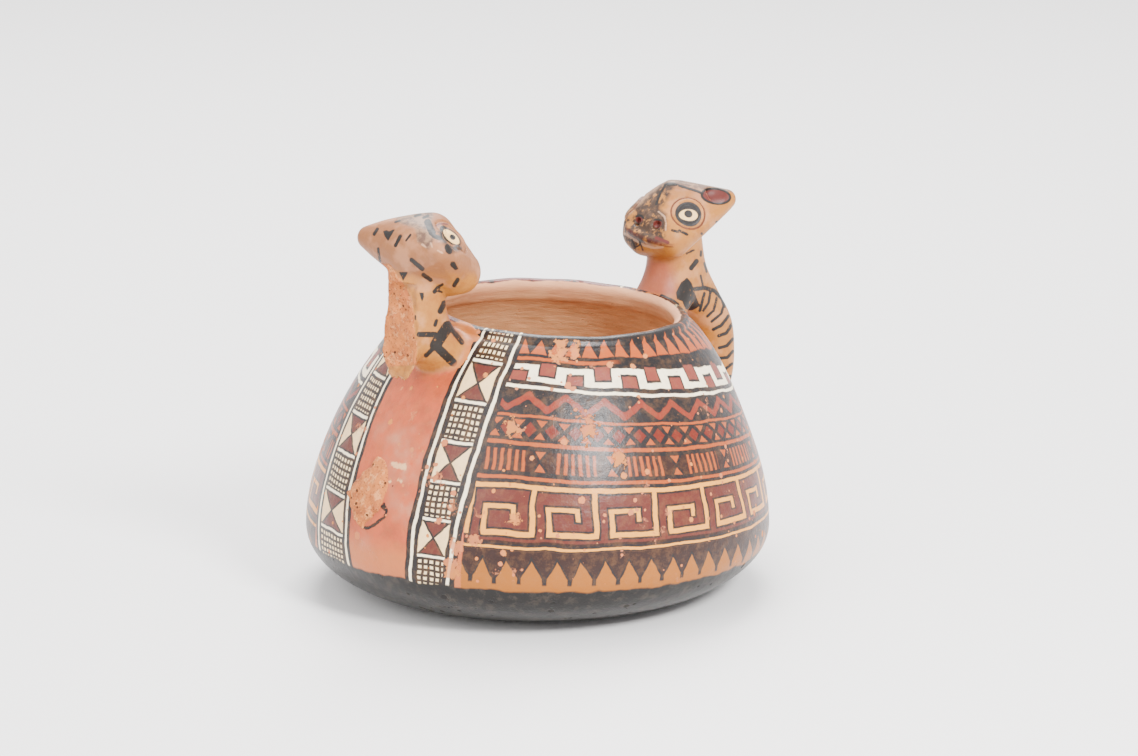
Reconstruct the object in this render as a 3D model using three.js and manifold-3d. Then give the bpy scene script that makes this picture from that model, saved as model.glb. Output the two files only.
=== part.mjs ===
// Painted pottery vessel: a squat, thin-walled pot of fired clay, widest close to the ground, with two
// modelled felines that look across the mouth at each other. The whole one stands on the shoulder and its
// body arches down to the wall as a loop handle. The other one has lost its body: a broken stump and a
// scar on the wall show where it was.
// Pot and felines were joined wet and fired together, so they are one piece of clay and one mesh.
//
// Millimetres. +Z is up, the origin is on the pot's axis at the ground, and the felines stand on the
// X axis, the whole one at +X.
import * as THREE from "three";
import { ConvexGeometry } from "three/addons/geometries/ConvexGeometry.js";
import { mergeVertices } from "three/addons/utils/BufferGeometryUtils.js";
import Module from "manifold-3d";

// The pot.
const footRadius = 44; // flat underside
const bellyRadius = 83; // widest, outside
const bellyHeight = 22.5; // height of the widest ring
const mouthRadius = 47.8; // outside of the lip
const mouthHeight = 100; // top of the lip, before the mouth dips
const wall = 5.5;
const lipRadius = wall / 2; // the lip is round
const floorThickness = 7;
const bellyRise = 26; // the wall leaves the widest ring upright for this long
const shoulderRise = 7; // and reaches the lip along the shoulder's slope for this long
const shoulderSlope = 1.7; // inward run for each millimetre of rise at the lip

// The mouth was pushed aside a little while the clay was soft, and it dips to that side.
const pushHeading = -47; // degrees from +X
const mouthPush = 6.9;
const mouthDip = 3.5; // degrees

// The felines. Their sizes are in each one's own frame: f runs forward to the mouth, l to the animal's
// left and u up, from the middle of the neck at the height of the lip.
const neckSetback = 17.2; // from the lip's outer edge out to the middle of the neck
const neckLine = -1.4; // the Y of both necks, which follow the pushed mouth a little
const browHeight = 33; // middle of the brow's ball, so the top of the head is a little higher
const browReach = 0;
const noseHeight = 22.5;
const noseReach = 9.8;
const jawHeight = 18.3;
const jawReach = 8;
const jawHalfWidth = 14.5;
const chinHeight = 9.5; // underside of the chin
const nape = -13; // back of the head
const earThickness = 7.4;
const earHollow = 4;
const eyeRadius = 6;
const eyeRelief = 1.6; // of the eye's disc
const eyeAt = [3.7, 10.7, 27.2]; // middle of the left eye's disc
const nostrilRadius = 1.7;
const mouthHalfWidth = 10.5;
const mouthSlant = -7; // degrees, higher on the animal's right
const neckHalfWidth = 9;
const neckHalfLength = 11.5;
const handleHalfThickness = 7.8;
const handleHalfWidth = 8.5;
const handleReach = 23; // how far the arched body stands out behind the neck
const handleDrop = 53; // from the lip down to where the body meets the wall
const handleRoot = 2.7; // how deep the middle of its end is sunk in the wall

// The flat of the break behind the broken one's neck.
const breakReach = -9.3;
const breakSlant = -3; // degrees

// What differs between the two: size is the head's scale, set is how far it is moved, ear is where the
// left ear's tip is.
const wholeFeline = { outward: 1, size: 1, set: [0, 0, 0], ear: [-14, 14, 31] };
const brokenFeline = { outward: -1, size: 1.12, set: [1.5, 0, -0.6], ear: [-7.6, 15.2, 28.2] };

// The scar of the lost body on the wall.
const scarHeight = 45.5;
const scarHeading = 175; // degrees from +X
const scarHalfWidth = 8.8;
const scarHalfHeight = 12;
const scarRelief = 2.4;
const scarLean = 12; // degrees

// How finely the round forms are divided.
const potSides = 64;
const hollowSides = 48;
const profileSteps = 8;
const lipSteps = 4;
const tubeSides = 16;
const ballSides = 18;

const wasm = await Module();
wasm.setup();

const radians = THREE.MathUtils.degToRad;

// A closed three.js geometry as a solid that can be joined and cut.
function solid(geometry) {
  const bare = geometry.clone();
  bare.deleteAttribute("normal");
  bare.deleteAttribute("uv");
  const merged = mergeVertices(bare, 1e-3);
  return new wasm.Manifold(
    new wasm.Mesh({
      numProp: 3,
      vertProperties: new Float32Array(merged.attributes.position.array),
      triVerts: new Uint32Array(merged.index.array),
    }),
  );
}

// A solid back as a three.js geometry.
function geometryOf(body) {
  const mesh = body.getMesh();
  return new THREE.BufferGeometry()
    .setAttribute("position", new THREE.BufferAttribute(mesh.vertProperties, 3))
    .setIndex(new THREE.BufferAttribute(mesh.triVerts, 1));
}

// Moves every vertex of a geometry to where move(point) puts it.
function reshape(geometry, move) {
  const position = geometry.attributes.position;
  const point = new THREE.Vector3();
  for (let i = 0; i < position.count; i += 1) {
    point.fromBufferAttribute(position, i);
    move(point);
    position.setXYZ(i, point.x, point.y, point.z);
  }
  return geometry;
}

// The pot's outline as points (radius, height), from the foot's edge to the lip's outer edge: a quarter
// ellipse up to the belly, then one long curve over the shoulder.
function outline() {
  const path = new THREE.Path();
  path.absellipse(
    footRadius,
    bellyHeight,
    bellyRadius - footRadius,
    bellyHeight,
    -Math.PI / 2,
    0,
    false,
  );
  const lower = path.getSpacedPoints(profileSteps);
  const upper = new THREE.CubicBezierCurve(
    new THREE.Vector2(bellyRadius, bellyHeight),
    new THREE.Vector2(bellyRadius, bellyHeight + bellyRise),
    new THREE.Vector2(
      mouthRadius + shoulderSlope * shoulderRise,
      mouthHeight - lipRadius - shoulderRise,
    ),
    new THREE.Vector2(mouthRadius, mouthHeight - lipRadius),
  ).getSpacedPoints(profileSteps);
  return [...lower, ...upper.slice(1)];
}

// The same outline moved inwards by the wall, and no lower than the floor.
function inside(points) {
  const moved = points.map((point, i) => {
    const before = points[Math.max(i - 1, 0)];
    const after = points[Math.min(i + 1, points.length - 1)];
    const along = after.clone().sub(before).normalize();
    return new THREE.Vector2(point.x - along.y * wall, point.y + along.x * wall);
  });
  return moved.filter((point) => point.y > floorThickness + 1);
}

// Pushes the upper part of the pot aside and dips the mouth. The foot stays where it is.
const pushed = new THREE.Vector2(
  Math.cos(radians(pushHeading)),
  Math.sin(radians(pushHeading)),
);
function settle(point) {
  const share = point.z / mouthHeight;
  const along = point.x * pushed.x + point.y * pushed.y;
  point.z -= Math.tan(radians(mouthDip)) * along * share ** 2;
  const push = mouthPush * Math.max(share, 0) ** 2.7;
  point.x += pushed.x * push;
  point.y += pushed.y * push;
  return point;
}

// A solid of revolution from points (radius, height), settled as the pot is.
function turned(points, sides) {
  const lathe = new THREE.LatheGeometry(points, sides).rotateX(Math.PI / 2);
  return solid(reshape(lathe, settle));
}

const outer = outline();
const lip = Array.from({ length: lipSteps - 1 }, (_, i) => {
  const turn = (Math.PI * (i + 1)) / lipSteps;
  return new THREE.Vector2(
    mouthRadius - lipRadius + lipRadius * Math.cos(turn),
    mouthHeight - lipRadius + lipRadius * Math.sin(turn),
  );
});
const inner = inside(outer);
const innerLip = new THREE.Vector2(mouthRadius - wall, mouthHeight - lipRadius);
const hollowProfile = [
  new THREE.Vector2(0, floorThickness),
  new THREE.Vector2(inner[0].x - wall, floorThickness),
  ...inner.slice(0, -1),
  innerLip,
];

// The clay of the pot, still full, and the hollow that is taken out of it. The hollow's top follows the
// inner half of the lip and then opens upwards.
function fullPot() {
  const clay = [
    new THREE.Vector2(0, 0),
    ...outer,
    ...lip,
    innerLip,
    new THREE.Vector2(0, innerLip.y),
  ];
  return turned(clay, potSides);
}
function hollow() {
  const space = [
    ...hollowProfile,
    new THREE.Vector2(innerLip.x, mouthHeight + lipRadius),
    new THREE.Vector2(0, mouthHeight + lipRadius),
  ];
  return turned(space, hollowSides);
}

// The wall's outer radius at a height between the belly and the lip, and how steeply it leans in there.
function wallAt(height) {
  const above = outer.findIndex((point) => point.y > height);
  const [low, high] = [outer[above - 1], outer[above]];
  return {
    radius: THREE.MathUtils.mapLinear(height, low.y, high.y, low.x, high.x),
    lean: Math.atan2(low.x - high.x, high.y - low.y),
  };
}

// A rod with an elliptic section that follows stations {at: [f, l, u], thick, wide}, where wide lies
// along side and thick across it.
function rod(stations, side, sides, steps) {
  const centre = new THREE.CatmullRomCurve3(
    stations.map((station) => new THREE.Vector3(...station.at)),
  );
  const size = new THREE.CatmullRomCurve3(
    stations.map((station) => new THREE.Vector3(station.thick, station.wide, 0)),
  );
  const place = (point) => {
    const t = THREE.MathUtils.clamp(point.y + 0.5, 0, 1);
    const along = centre.getTangent(t);
    const wideAxis = side.clone().addScaledVector(along, -side.dot(along)).normalize();
    const thickAxis = new THREE.Vector3().crossVectors(wideAxis, along);
    const half = size.getPoint(t);
    const [a, b] = [point.z * half.x, point.x * half.y];
    point
      .copy(centre.getPoint(t))
      .addScaledVector(thickAxis, a)
      .addScaledVector(wideAxis, b);
  };
  return solid(reshape(new THREE.CylinderGeometry(1, 1, 1, sides, steps), place));
}

// The skin stretched over balls {at: [f, l, u], radius}, flat wherever it spans between them.
function stretched(balls) {
  const points = [];
  for (const { at, radius } of balls) {
    const sides = Math.round(ballSides * Math.min(1, 0.6 + radius / 20));
    const ball = new THREE.SphereGeometry(radius, sides, Math.round(sides * 0.6)).translate(...at);
    const position = ball.attributes.position;
    for (let i = 0; i < position.count; i += 1) {
      points.push(new THREE.Vector3().fromBufferAttribute(position, i));
    }
  }
  return solid(new ConvexGeometry(points));
}

// A low round button that faces along a normal.
function button(centre, normal, radius, relief) {
  const facing = new THREE.Quaternion().setFromUnitVectors(
    new THREE.Vector3(0, 0, 1),
    normal.clone().normalize(),
  );
  const dome = new THREE.SphereGeometry(radius, 18, 6)
    .rotateX(Math.PI / 2)
    .scale(1, 1, relief / radius)
    .applyQuaternion(facing)
    .translate(...centre);
  return solid(dome);
}

const sideways = new THREE.Vector3(0, 1, 0);
const bothSides = (f, l, u, radius) => [1, -1].map((hand) => ({ at: [f, hand * l, u], radius }));

// A head before it is set on its neck: a wedge with a flat cheek on each side of the nose, a broad jaw
// and the two ears drawn out of it.
function head({ ear }) {
  const balls = [
    { at: [browReach, 0, browHeight], radius: 4.5 },
    { at: [noseReach, 0, noseHeight], radius: 4.6 },
    { at: [jawReach + 1, 0, jawHeight + 0.7], radius: 5.2 },
    { at: [jawReach - 2, 0, chinHeight + 6], radius: 6 },
    { at: [nape + 10, 0, browHeight - 7], radius: 10 },
    ...bothSides(browReach - 5.6, 8.3, browHeight - 2.4, 4),
    ...bothSides(jawReach, jawHalfWidth - 6.8, jawHeight, 6.8),
    ...bothSides(...ear, earThickness / 2),
  ];
  let body = stretched(balls);
  for (const hand of [1, -1]) {
    const cheek = new THREE.Vector3(0.62, hand * 0.57, 0.54);
    const eye = [eyeAt[0], hand * eyeAt[1], eyeAt[2]];
    body = body.add(button(eye, cheek, eyeRadius, eyeRelief));
    const inEar = new THREE.Vector3(0.55, hand * 0.5, 0.67);
    const hollowOfEar = [ear[0] + 5.4, hand * (ear[1] - 0.2), ear[2] + 2.4];
    body = body.subtract(button(hollowOfEar, inEar, earHollow, 1.7));
    const nostril = new THREE.IcosahedronGeometry(nostrilRadius, 1).translate(
      noseReach + 3.5,
      hand * 4.4,
      noseHeight + 1,
    );
    body = body.subtract(solid(nostril));
  }
  const mouth = new THREE.SphereGeometry(1, 18, 6)
    .rotateX(Math.PI / 2)
    .scale(5.5, mouthHalfWidth, 1.1)
    .rotateX(radians(mouthSlant))
    .translate(jawReach + 4.5, 0, jawHeight - 0.3);
  return body.subtract(solid(mouth));
}

// Neck and chest: level slices {u, back, front, wide} from the head down to the foot, which widens over
// the shoulder and ends inside the wall.
function neck() {
  const half = neckHalfLength;
  const slices = [
    { u: 22, back: -half, front: half - 3, wide: neckHalfWidth },
    { u: 12, back: -half - 0.7, front: half - 2.5, wide: neckHalfWidth },
    { u: 5, back: -half - 0.6, front: half - 1.2, wide: neckHalfWidth + 0.1 },
    { u: 0, back: -half + 0.4, front: half + 1.4, wide: neckHalfWidth + 0.7 },
    { u: -4, back: -half + 1.6, front: half + 5, wide: neckHalfWidth + 1.4 },
    { u: -8, back: -half + 4.8, front: half + 7, wide: neckHalfWidth + 1.6 },
    { u: -12, back: -half + 10, front: half + 7, wide: neckHalfWidth + 0.4 },
    { u: -16, back: -half + 17, front: half + 7, wide: neckHalfWidth - 3 },
  ];
  const back = new THREE.CatmullRomCurve3(
    slices.map((slice) => new THREE.Vector3(slice.u, slice.back, 0)),
  );
  const front = new THREE.CatmullRomCurve3(
    slices.map((slice) => new THREE.Vector3(slice.u, slice.front, slice.wide)),
  );
  const place = (point) => {
    const t = THREE.MathUtils.clamp(0.5 - point.y, 0, 1);
    const [rear, fore] = [back.getPoint(t), front.getPoint(t)];
    const middle = (rear.y + fore.y) / 2;
    const long = (fore.y - rear.y) / 2;
    point.set(middle + long * point.x, fore.z * -point.z, rear.x);
  };
  return solid(reshape(new THREE.CylinderGeometry(1, 1, 1, tubeSides + 6, 14), place));
}

// The animal's body, which leaves the neck, arches out and comes back to the wall as a handle. The neck
// stands at a radius of neckAt from the pot's axis, so the wall is that much nearer to the body's end.
function archedBody(neckAt) {
  const across = { thick: handleHalfThickness, wide: handleHalfWidth };
  const root = wallAt(mouthHeight - handleDrop).radius - handleRoot - neckAt;
  const stations = [
    { at: [-2, 0, 14], thick: 8.5, wide: neckHalfWidth - 0.5 },
    { at: [-4.5, 0, 6.5], thick: 9, wide: handleHalfWidth },
    { at: [-9, 0, -1.5], thick: 8.6, wide: handleHalfWidth },
    { at: [0.67 * -handleReach, 0, -0.19 * handleDrop], ...across },
    { at: [0.93 * -handleReach, 0, -0.36 * handleDrop], ...across },
    { at: [-handleReach, 0, -0.53 * handleDrop], ...across },
    { at: [0.96 * -handleReach, 0, -0.71 * handleDrop], ...across },
    { at: [-root - 0.65 * (handleReach - root), 0, -0.88 * handleDrop], ...across },
    { at: [-root, 0, -handleDrop], ...across },
  ];
  return rod(stations, sideways, tubeSides, 26);
}

// The break behind the neck, where the body came off, is a rough flat from the nape down to the foot.
function breakCut() {
  const depth = 20;
  return solid(
    new THREE.BoxGeometry(depth, 60, 70)
      .rotateY(radians(breakSlant))
      .translate(breakReach - depth / 2, 0, -8),
  );
}

// Puts a feline on the shoulder at one end of the X axis, outward being 1 for +X or -1 for -X.
function feline(which) {
  const { outward, size, set } = which;
  const edge = settle(new THREE.Vector3(outward * mouthRadius, 0, mouthHeight));
  const onNeck = new THREE.Matrix4()
    .makeTranslation(set[0], 0, set[2])
    .multiply(new THREE.Matrix4().makeScale(size, size, size));
  const neckAt = edge.x + outward * neckSetback;
  let body = outward > 0 ? neck().add(archedBody(neckAt)) : neck().subtract(breakCut());
  body = body.add(head(which).transform([...onNeck.elements]));
  const place = new THREE.Matrix4()
    .makeTranslation(neckAt, neckLine, edge.z)
    .multiply(new THREE.Matrix4().makeRotationZ(outward > 0 ? Math.PI : 0));
  return body.transform([...place.elements]);
}

// The scar that the lost body left on the wall.
function scar() {
  const { radius, lean } = wallAt(scarHeight);
  const patch = new THREE.SphereGeometry(1, 22, 12)
    .scale(2 * scarRelief, scarHalfWidth, scarHalfHeight)
    .rotateX(radians(scarLean))
    .rotateY(-lean)
    .translate(radius - scarRelief, 0, 0)
    .rotateZ(radians(scarHeading))
    .translate(0, 0, scarHeight);
  return solid(patch);
}

const clay = fullPot().add(feline(wholeFeline)).add(feline(brokenFeline)).add(scar()).subtract(hollow());

const firedClay = new THREE.MeshStandardMaterial({
  color: 0xb0683f,
  roughness: 0.5,
  metalness: 0,
});
const vessel = new THREE.Mesh(geometryOf(clay), firedClay);
vessel.name = "vessel";

const group = new THREE.Group();
group.add(vessel);
export default group;
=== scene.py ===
# %% [markdown]
# # A painted pot with two modelled felines
# The real object is a squat, thin-walled pot of fired clay. Two felines look across its mouth at each
# other. One is whole and its body arches down to the wall as a loop handle. The other has lost its body:
# a broken stump and a scar on the wall are left.
# This lesson dresses the measured solid of the pot with a finer surface and with paint. The solid is
# loaded first and never moved. Everything here is made in its frame, with +Z up and metres as unit. The
# sizes below are in millimetres, because a potter would give them so, and MM turns them into metres.

# %% Load the frame
import math

import bpy
import numpy as np
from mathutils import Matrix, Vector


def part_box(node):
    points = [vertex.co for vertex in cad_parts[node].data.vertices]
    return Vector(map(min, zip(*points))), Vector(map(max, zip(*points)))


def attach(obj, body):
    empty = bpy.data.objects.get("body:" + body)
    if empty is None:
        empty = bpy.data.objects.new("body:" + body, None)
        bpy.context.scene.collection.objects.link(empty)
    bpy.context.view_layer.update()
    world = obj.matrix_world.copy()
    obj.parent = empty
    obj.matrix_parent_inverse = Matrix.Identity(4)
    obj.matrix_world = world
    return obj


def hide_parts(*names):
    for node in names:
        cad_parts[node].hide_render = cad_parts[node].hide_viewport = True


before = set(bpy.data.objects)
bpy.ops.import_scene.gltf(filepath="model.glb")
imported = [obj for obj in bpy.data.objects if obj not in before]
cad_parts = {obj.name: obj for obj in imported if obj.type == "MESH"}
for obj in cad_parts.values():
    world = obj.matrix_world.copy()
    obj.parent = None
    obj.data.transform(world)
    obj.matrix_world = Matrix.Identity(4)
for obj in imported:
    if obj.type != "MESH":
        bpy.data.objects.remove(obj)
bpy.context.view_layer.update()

import openvdb
from mathutils import Vector

MM = 0.001
low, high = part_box("vessel")
print("the solid is", [round((b - a) / MM, 1) for a, b in zip(low, high)], "mm")

# %% [markdown]
# ## The camera
# The camera comes first, so that every piece can be judged from the photograph's side. Its aim is a
# point in the middle of the pot, and its place is a direction and a distance from there. A long lens from
# far away gives the flat perspective that a close-up of a pot usually has.

# %% Camera
AIM = Vector((7.61, -8.155, 73.91)) * MM
TOWARDS_CAMERA = Vector((-0.71028, -0.66235, 0.23830))
CAMERA_DISTANCE = 1.5

camera_data = bpy.data.cameras.new("camera")
camera_data.lens = 133.6
camera_data.sensor_width = 36
camera = bpy.data.objects.new("camera", camera_data)
camera.location = AIM + TOWARDS_CAMERA.normalized() * CAMERA_DISTANCE
camera.rotation_euler = TOWARDS_CAMERA.to_track_quat("Z", "Y").to_euler()
bpy.context.scene.collection.objects.link(camera)
bpy.context.scene.camera = camera
print("camera at", [round(c, 3) for c in camera.location])

# %% [markdown]
# ## The pot's outline
# A potter builds such a pot from a low bowl and a long shoulder that closes in to the mouth. The outline
# could be drawn as a list of points. Two curves say more with less: a quarter ellipse from the foot to
# the belly, and one Bezier curve over the shoulder. The wall is the same outline moved inwards, and the
# lip is a half circle between the two.

# %% Outline
FOOT_RADIUS, BELLY_RADIUS, MOUTH_RADIUS = 44, 83, 47.8
BELLY_HEIGHT, MOUTH_HEIGHT = 22.5, 100
WALL, FLOOR = 5.5, 7
LIP_RADIUS = WALL / 2
BELLY_RISE, SHOULDER_RISE, SHOULDER_SLOPE = 26, 7, 1.7
LIP_CENTRE = (MOUTH_RADIUS - LIP_RADIUS, MOUTH_HEIGHT - LIP_RADIUS)


def outer_outline(count=160):
    """Points (radius, height) from the foot's edge to the lip's outer edge."""
    turn = np.linspace(-math.pi / 2, 0, count)[:, None]
    ellipse = np.hstack([
        FOOT_RADIUS + (BELLY_RADIUS - FOOT_RADIUS) * np.cos(turn),
        BELLY_HEIGHT + BELLY_HEIGHT * np.sin(turn),
    ])
    ends = np.array([
        (BELLY_RADIUS, BELLY_HEIGHT),
        (BELLY_RADIUS, BELLY_HEIGHT + BELLY_RISE),
        (MOUTH_RADIUS + SHOULDER_SLOPE * SHOULDER_RISE, LIP_CENTRE[1] - SHOULDER_RISE),
        (MOUTH_RADIUS, LIP_CENTRE[1]),
    ])
    t = np.linspace(0, 1, count)[1:, None]
    weights = np.hstack([(1 - t) ** 3, 3 * t * (1 - t) ** 2, 3 * t**2 * (1 - t), t**3])
    return np.vstack([ellipse, weights @ ends])


def offset_inwards(points, distance):
    along = np.gradient(points, axis=0)
    along /= np.linalg.norm(along, axis=1, keepdims=True)
    return points + distance * np.column_stack([-along[:, 1], along[:, 0]])


def evenly(points, step):
    """The same line with its points about one step apart."""
    run = np.concatenate([[0], np.cumsum(np.linalg.norm(np.diff(points, axis=0), axis=1))])
    at = np.linspace(0, run[-1], max(2, round(run[-1] / step)) + 1)
    return np.column_stack([np.interp(at, run, points[:, i]) for i in range(2)])


outer = outer_outline()
inner = offset_inwards(outer, WALL)
inner = inner[inner[:, 1] > FLOOR + 2.6]
print("outline", len(outer), "points, widest", round(outer[:, 0].max(), 1), "mm")

# %% [markdown]
# ## The push and the dip
# The mouth is a little off the pot's axis and tips to one side, because the wet clay gave way there. A
# tilt of the whole pot would lift its foot. So the move grows with the height: the foot stays, and the
# mouth goes the full way. The same rule is also needed backwards, from a place on the real pot to the
# place that it had before.

# %% Settle
PUSH_HEADING, MOUTH_PUSH, MOUTH_DIP = math.radians(-47), 6.9, math.radians(3.5)
PUSHED = np.array([math.cos(PUSH_HEADING), math.sin(PUSH_HEADING)])


def settle(points):
    """Where points of the upright pot are on the real one."""
    share = np.maximum(points[..., 2] / MOUTH_HEIGHT, 0)
    moved = points.copy()
    moved[..., 2] -= math.tan(MOUTH_DIP) * (points[..., :2] @ PUSHED) * share**2
    moved[..., :2] += (MOUTH_PUSH * share**2.7)[..., None] * PUSHED
    return moved


def unsettle(points):
    """Where points of the real pot were on the upright one, found by three corrections."""
    guess = points.copy()
    for _ in range(3):
        guess = guess + points - settle(guess)
    return guess


def wobble(angle, height):
    """How far the hand-built wall stands off a true round, in millimetres."""
    slow = 0.28 * np.sin(2 * angle + 0.9) + 0.2 * np.sin(3 * angle - 1.1 + height / 25)
    quick = 0.1 * np.sin(7 * angle + height / 6) + 0.07 * np.sin(11 * angle - height / 9)
    return (slow + quick) * np.clip(height / 20, 0, 1)


print("the mouth's middle moves", MOUTH_PUSH, "mm")

# %% [markdown]
# ## The pot
# A lathe with a few hundred sides gives the round form: rings of points, one above the other, are joined
# into quads. It could be a Screw modifier on a curve. Rings made in code can also carry numbers for the
# paint: `rest`, the place on the upright pot, and `inward`, how far a point is past the lip's top on the
# way in. Interpolated over the faces, they tell the shader where it is.

# %% Pot mesh
SIDES = 300
RING_STEP = 1.05


def add_numbers(mesh, name, values):
    """Stores one number or one vector for each vertex, for the materials to read."""
    kind, key = ("FLOAT_VECTOR", "vector") if values.ndim == 2 else ("FLOAT", "value")
    layer = mesh.attributes.new(name, kind, "POINT")
    layer.data.foreach_set(key, values.astype(np.float32).ravel())


def new_piece(name, points, faces, numbers):
    """A smooth mesh object from points in millimetres. It rides on the pot's body."""
    mesh = bpy.data.meshes.new(name)
    mesh.from_pydata((points * MM).tolist(), [], faces)
    mesh.polygons.foreach_set("use_smooth", [True] * len(mesh.polygons))
    for key, values in numbers.items():
        add_numbers(mesh, key, values)
    piece = bpy.data.objects.new(name, mesh)
    bpy.context.scene.collection.objects.link(piece)
    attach(piece, "root")
    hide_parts("vessel")
    return piece


def pot_rings():
    """The whole profile from the middle of the foot to the middle of the floor, and `inward`."""
    turn = np.linspace(0, math.pi, 9)[1:-1]
    lip = np.column_stack([
        LIP_CENTRE[0] + LIP_RADIUS * np.cos(turn),
        LIP_CENTRE[1] + LIP_RADIUS * np.sin(turn),
    ])
    under = np.column_stack([np.linspace(1.5, FOOT_RADIUS, 12), np.zeros(12)])
    wall_in = evenly(np.vstack([inner, [(MOUTH_RADIUS - WALL, LIP_CENTRE[1])]])[::-1], 1.8)
    floor_edge = wall_in[-1]
    bend = np.linspace(0, 1, 8)[1:, None]
    corner = (floor_edge * (1 - bend) ** 2
              + 2 * bend * (1 - bend) * (floor_edge + (-3, -2.1))
              + bend**2 * np.array([floor_edge[0] - 9, FLOOR]))
    floor = np.column_stack([np.linspace(corner[-1, 0], 1.5, 16)[1:], np.full(15, FLOOR)])
    profile = np.vstack([under[:-1], evenly(outer, RING_STEP), lip, wall_in, corner, floor])
    run = np.concatenate([[0], np.cumsum(np.linalg.norm(np.diff(profile, axis=0), axis=1))])
    top = np.argmax(profile[:, 1])
    return profile, run - run[top]


def make_pot():
    profile, inward = pot_rings()
    angle = np.linspace(0, 2 * math.pi, SIDES, endpoint=False)
    radius = profile[:, 0, None] + wobble(angle[None], profile[:, 1, None]) * np.minimum(
        profile[:, 0, None] / 40, 1)
    upright = np.stack([
        radius * np.cos(angle), radius * np.sin(angle),
        np.repeat(profile[:, 1, None], SIDES, 1),
    ], -1)
    hand = 0.3 * np.sin(angle * 3 + 0.4) + 0.18 * np.sin(angle * 5 + 2) + 0.12 * np.sin(angle * 13)
    upright[..., 2] += hand * np.clip((profile[:, 1, None] - 94) / 5, 0, 1)
    rings = len(profile)
    index = np.arange(rings * SIDES).reshape(rings, SIDES)
    right = np.roll(index, -1, 1)
    quads = np.stack([index[:-1], right[:-1], right[1:], index[1:]], -1).reshape(-1, 4)
    caps = [index[0][::-1].tolist(), index[-1].tolist()]
    points = upright.reshape(-1, 3)
    numbers = {"rest": points, "inward": np.repeat(inward, SIDES)}
    return new_piece("pot", settle(points), quads.tolist() + caps, numbers)


pot = make_pot()
print("pot:", len(pot.data.polygons), "faces")

# %% [markdown]
# ## Modelling with distances
# The felines were pinched and smeared on while the clay was wet, so nothing on them is sharp and every
# joint is a soft fillet. Boxes and subdivision would need many hand-set points for that. A distance field
# does it with arithmetic: a function gives for any point how far it is from the form's skin, less than
# nothing inside. Two forms are joined by the smaller of two distances, with a soft step between them, and
# cut by the larger. The skin is then read from a fine grid by OpenVDB, which Blender brings along.

# %% Distances
def soft_join(a, b, reach):
    """The smaller distance, rounded off where both are within reach of each other."""
    h = np.clip(0.5 + 0.5 * (b - a) / reach, 0, 1)
    return b + (a - b) * h - reach * h * (1 - h)


def soft_cut(a, b, reach):
    """a without b."""
    return -soft_join(-a, b, reach)


def to_oval(p, radii):
    """Nearly how far p is from an oval or an ellipsoid round the origin."""
    first = np.linalg.norm(p / radii, axis=-1)
    second = np.linalg.norm(p / np.square(radii), axis=-1)
    return first * (first - 1) / np.maximum(second, 1e-6)


def ellipsoid(points, centre, radii):
    return to_oval(points - np.array(centre, np.float32), radii)


def capsule(points, start, end, radius):
    start, end = np.array(start, np.float32), np.array(end, np.float32)
    along = end - start
    t = np.clip((points - start) @ along / (along @ along), 0, 1)
    return np.linalg.norm(points - start - t[..., None] * along, axis=-1) - radius


def path_tube(points, stations, radius):
    return np.min([capsule(points, a, b, radius) for a, b in zip(stations, stations[1:])], axis=0)


def facing(normal):
    """A frame whose third axis is the normal, as rows."""
    n = Vector(normal).normalized()
    return np.array(n.to_track_quat("Z", "Y").to_matrix().transposed(), np.float32)


def lumps(points, size, seed):
    """Smooth random lumps between -1 and 1, as far apart as size."""
    table = np.random.default_rng(seed).uniform(-1, 1, (32, 32, 32)).astype(np.float32)
    cell = np.floor(points / size).astype(int)
    f = points / size - cell
    f = f * f * (3 - 2 * f)
    total = 0
    for corner in np.ndindex(2, 2, 2):
        weight = np.prod(np.where(corner, f, 1 - f), axis=-1)
        i = (cell + corner) % 32
        total = total + weight * table[i[..., 0], i[..., 1], i[..., 2]]
    return total


print("a ball of 2 is", ellipsoid(np.array([[5.0, 0, 0]]), (0, 0, 0), np.array([2, 2, 2]))[0], "away")

# %% [markdown]
# The pot itself is a distance too, because the felines have to grow out of it. Its outline is the same
# all round, so a small table over radius and height holds the distance, and a look-up in the table is
# quick. `wall_skin` is negative in the clay and in the hollow, and `hollow_skin` only in the hollow.

# %% The pot as a distance
TABLE_STEP = 0.5
TABLE_RADII = np.arange(20, 110, TABLE_STEP)
TABLE_HEIGHTS = np.arange(-5, 125, TABLE_STEP)


def outline_table(line):
    """Signed distance from an outline that closes on the pot's axis."""
    grid = np.stack(np.meshgrid(TABLE_RADII, TABLE_HEIGHTS, indexing="ij"), -1)
    fine = evenly(line, 0.4)
    away = np.full(grid.shape[:2], 1e9)
    for point in fine:
        away = np.minimum(away, ((grid - point) ** 2).sum(-1))
    side = np.interp(TABLE_HEIGHTS, line[:, 1], line[:, 0], right=0)
    inside = (grid[..., 0] < side) & (grid[..., 1] > line[0, 1]) & (grid[..., 1] < line[-1, 1])
    return np.sqrt(away) * np.where(inside, -1, 1)


def look_up(table, radius, height):
    i = np.clip((radius - TABLE_RADII[0]) / TABLE_STEP, 0, len(TABLE_RADII) - 1.001)
    j = np.clip((height - TABLE_HEIGHTS[0]) / TABLE_STEP, 0, len(TABLE_HEIGHTS) - 1.001)
    a, b = i.astype(int), j.astype(int)
    s, t = i - a, j - b
    return ((1 - s) * (1 - t) * table[a, b] + s * (1 - t) * table[a + 1, b]
            + (1 - s) * t * table[a, b + 1] + s * t * table[a + 1, b + 1])


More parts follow.
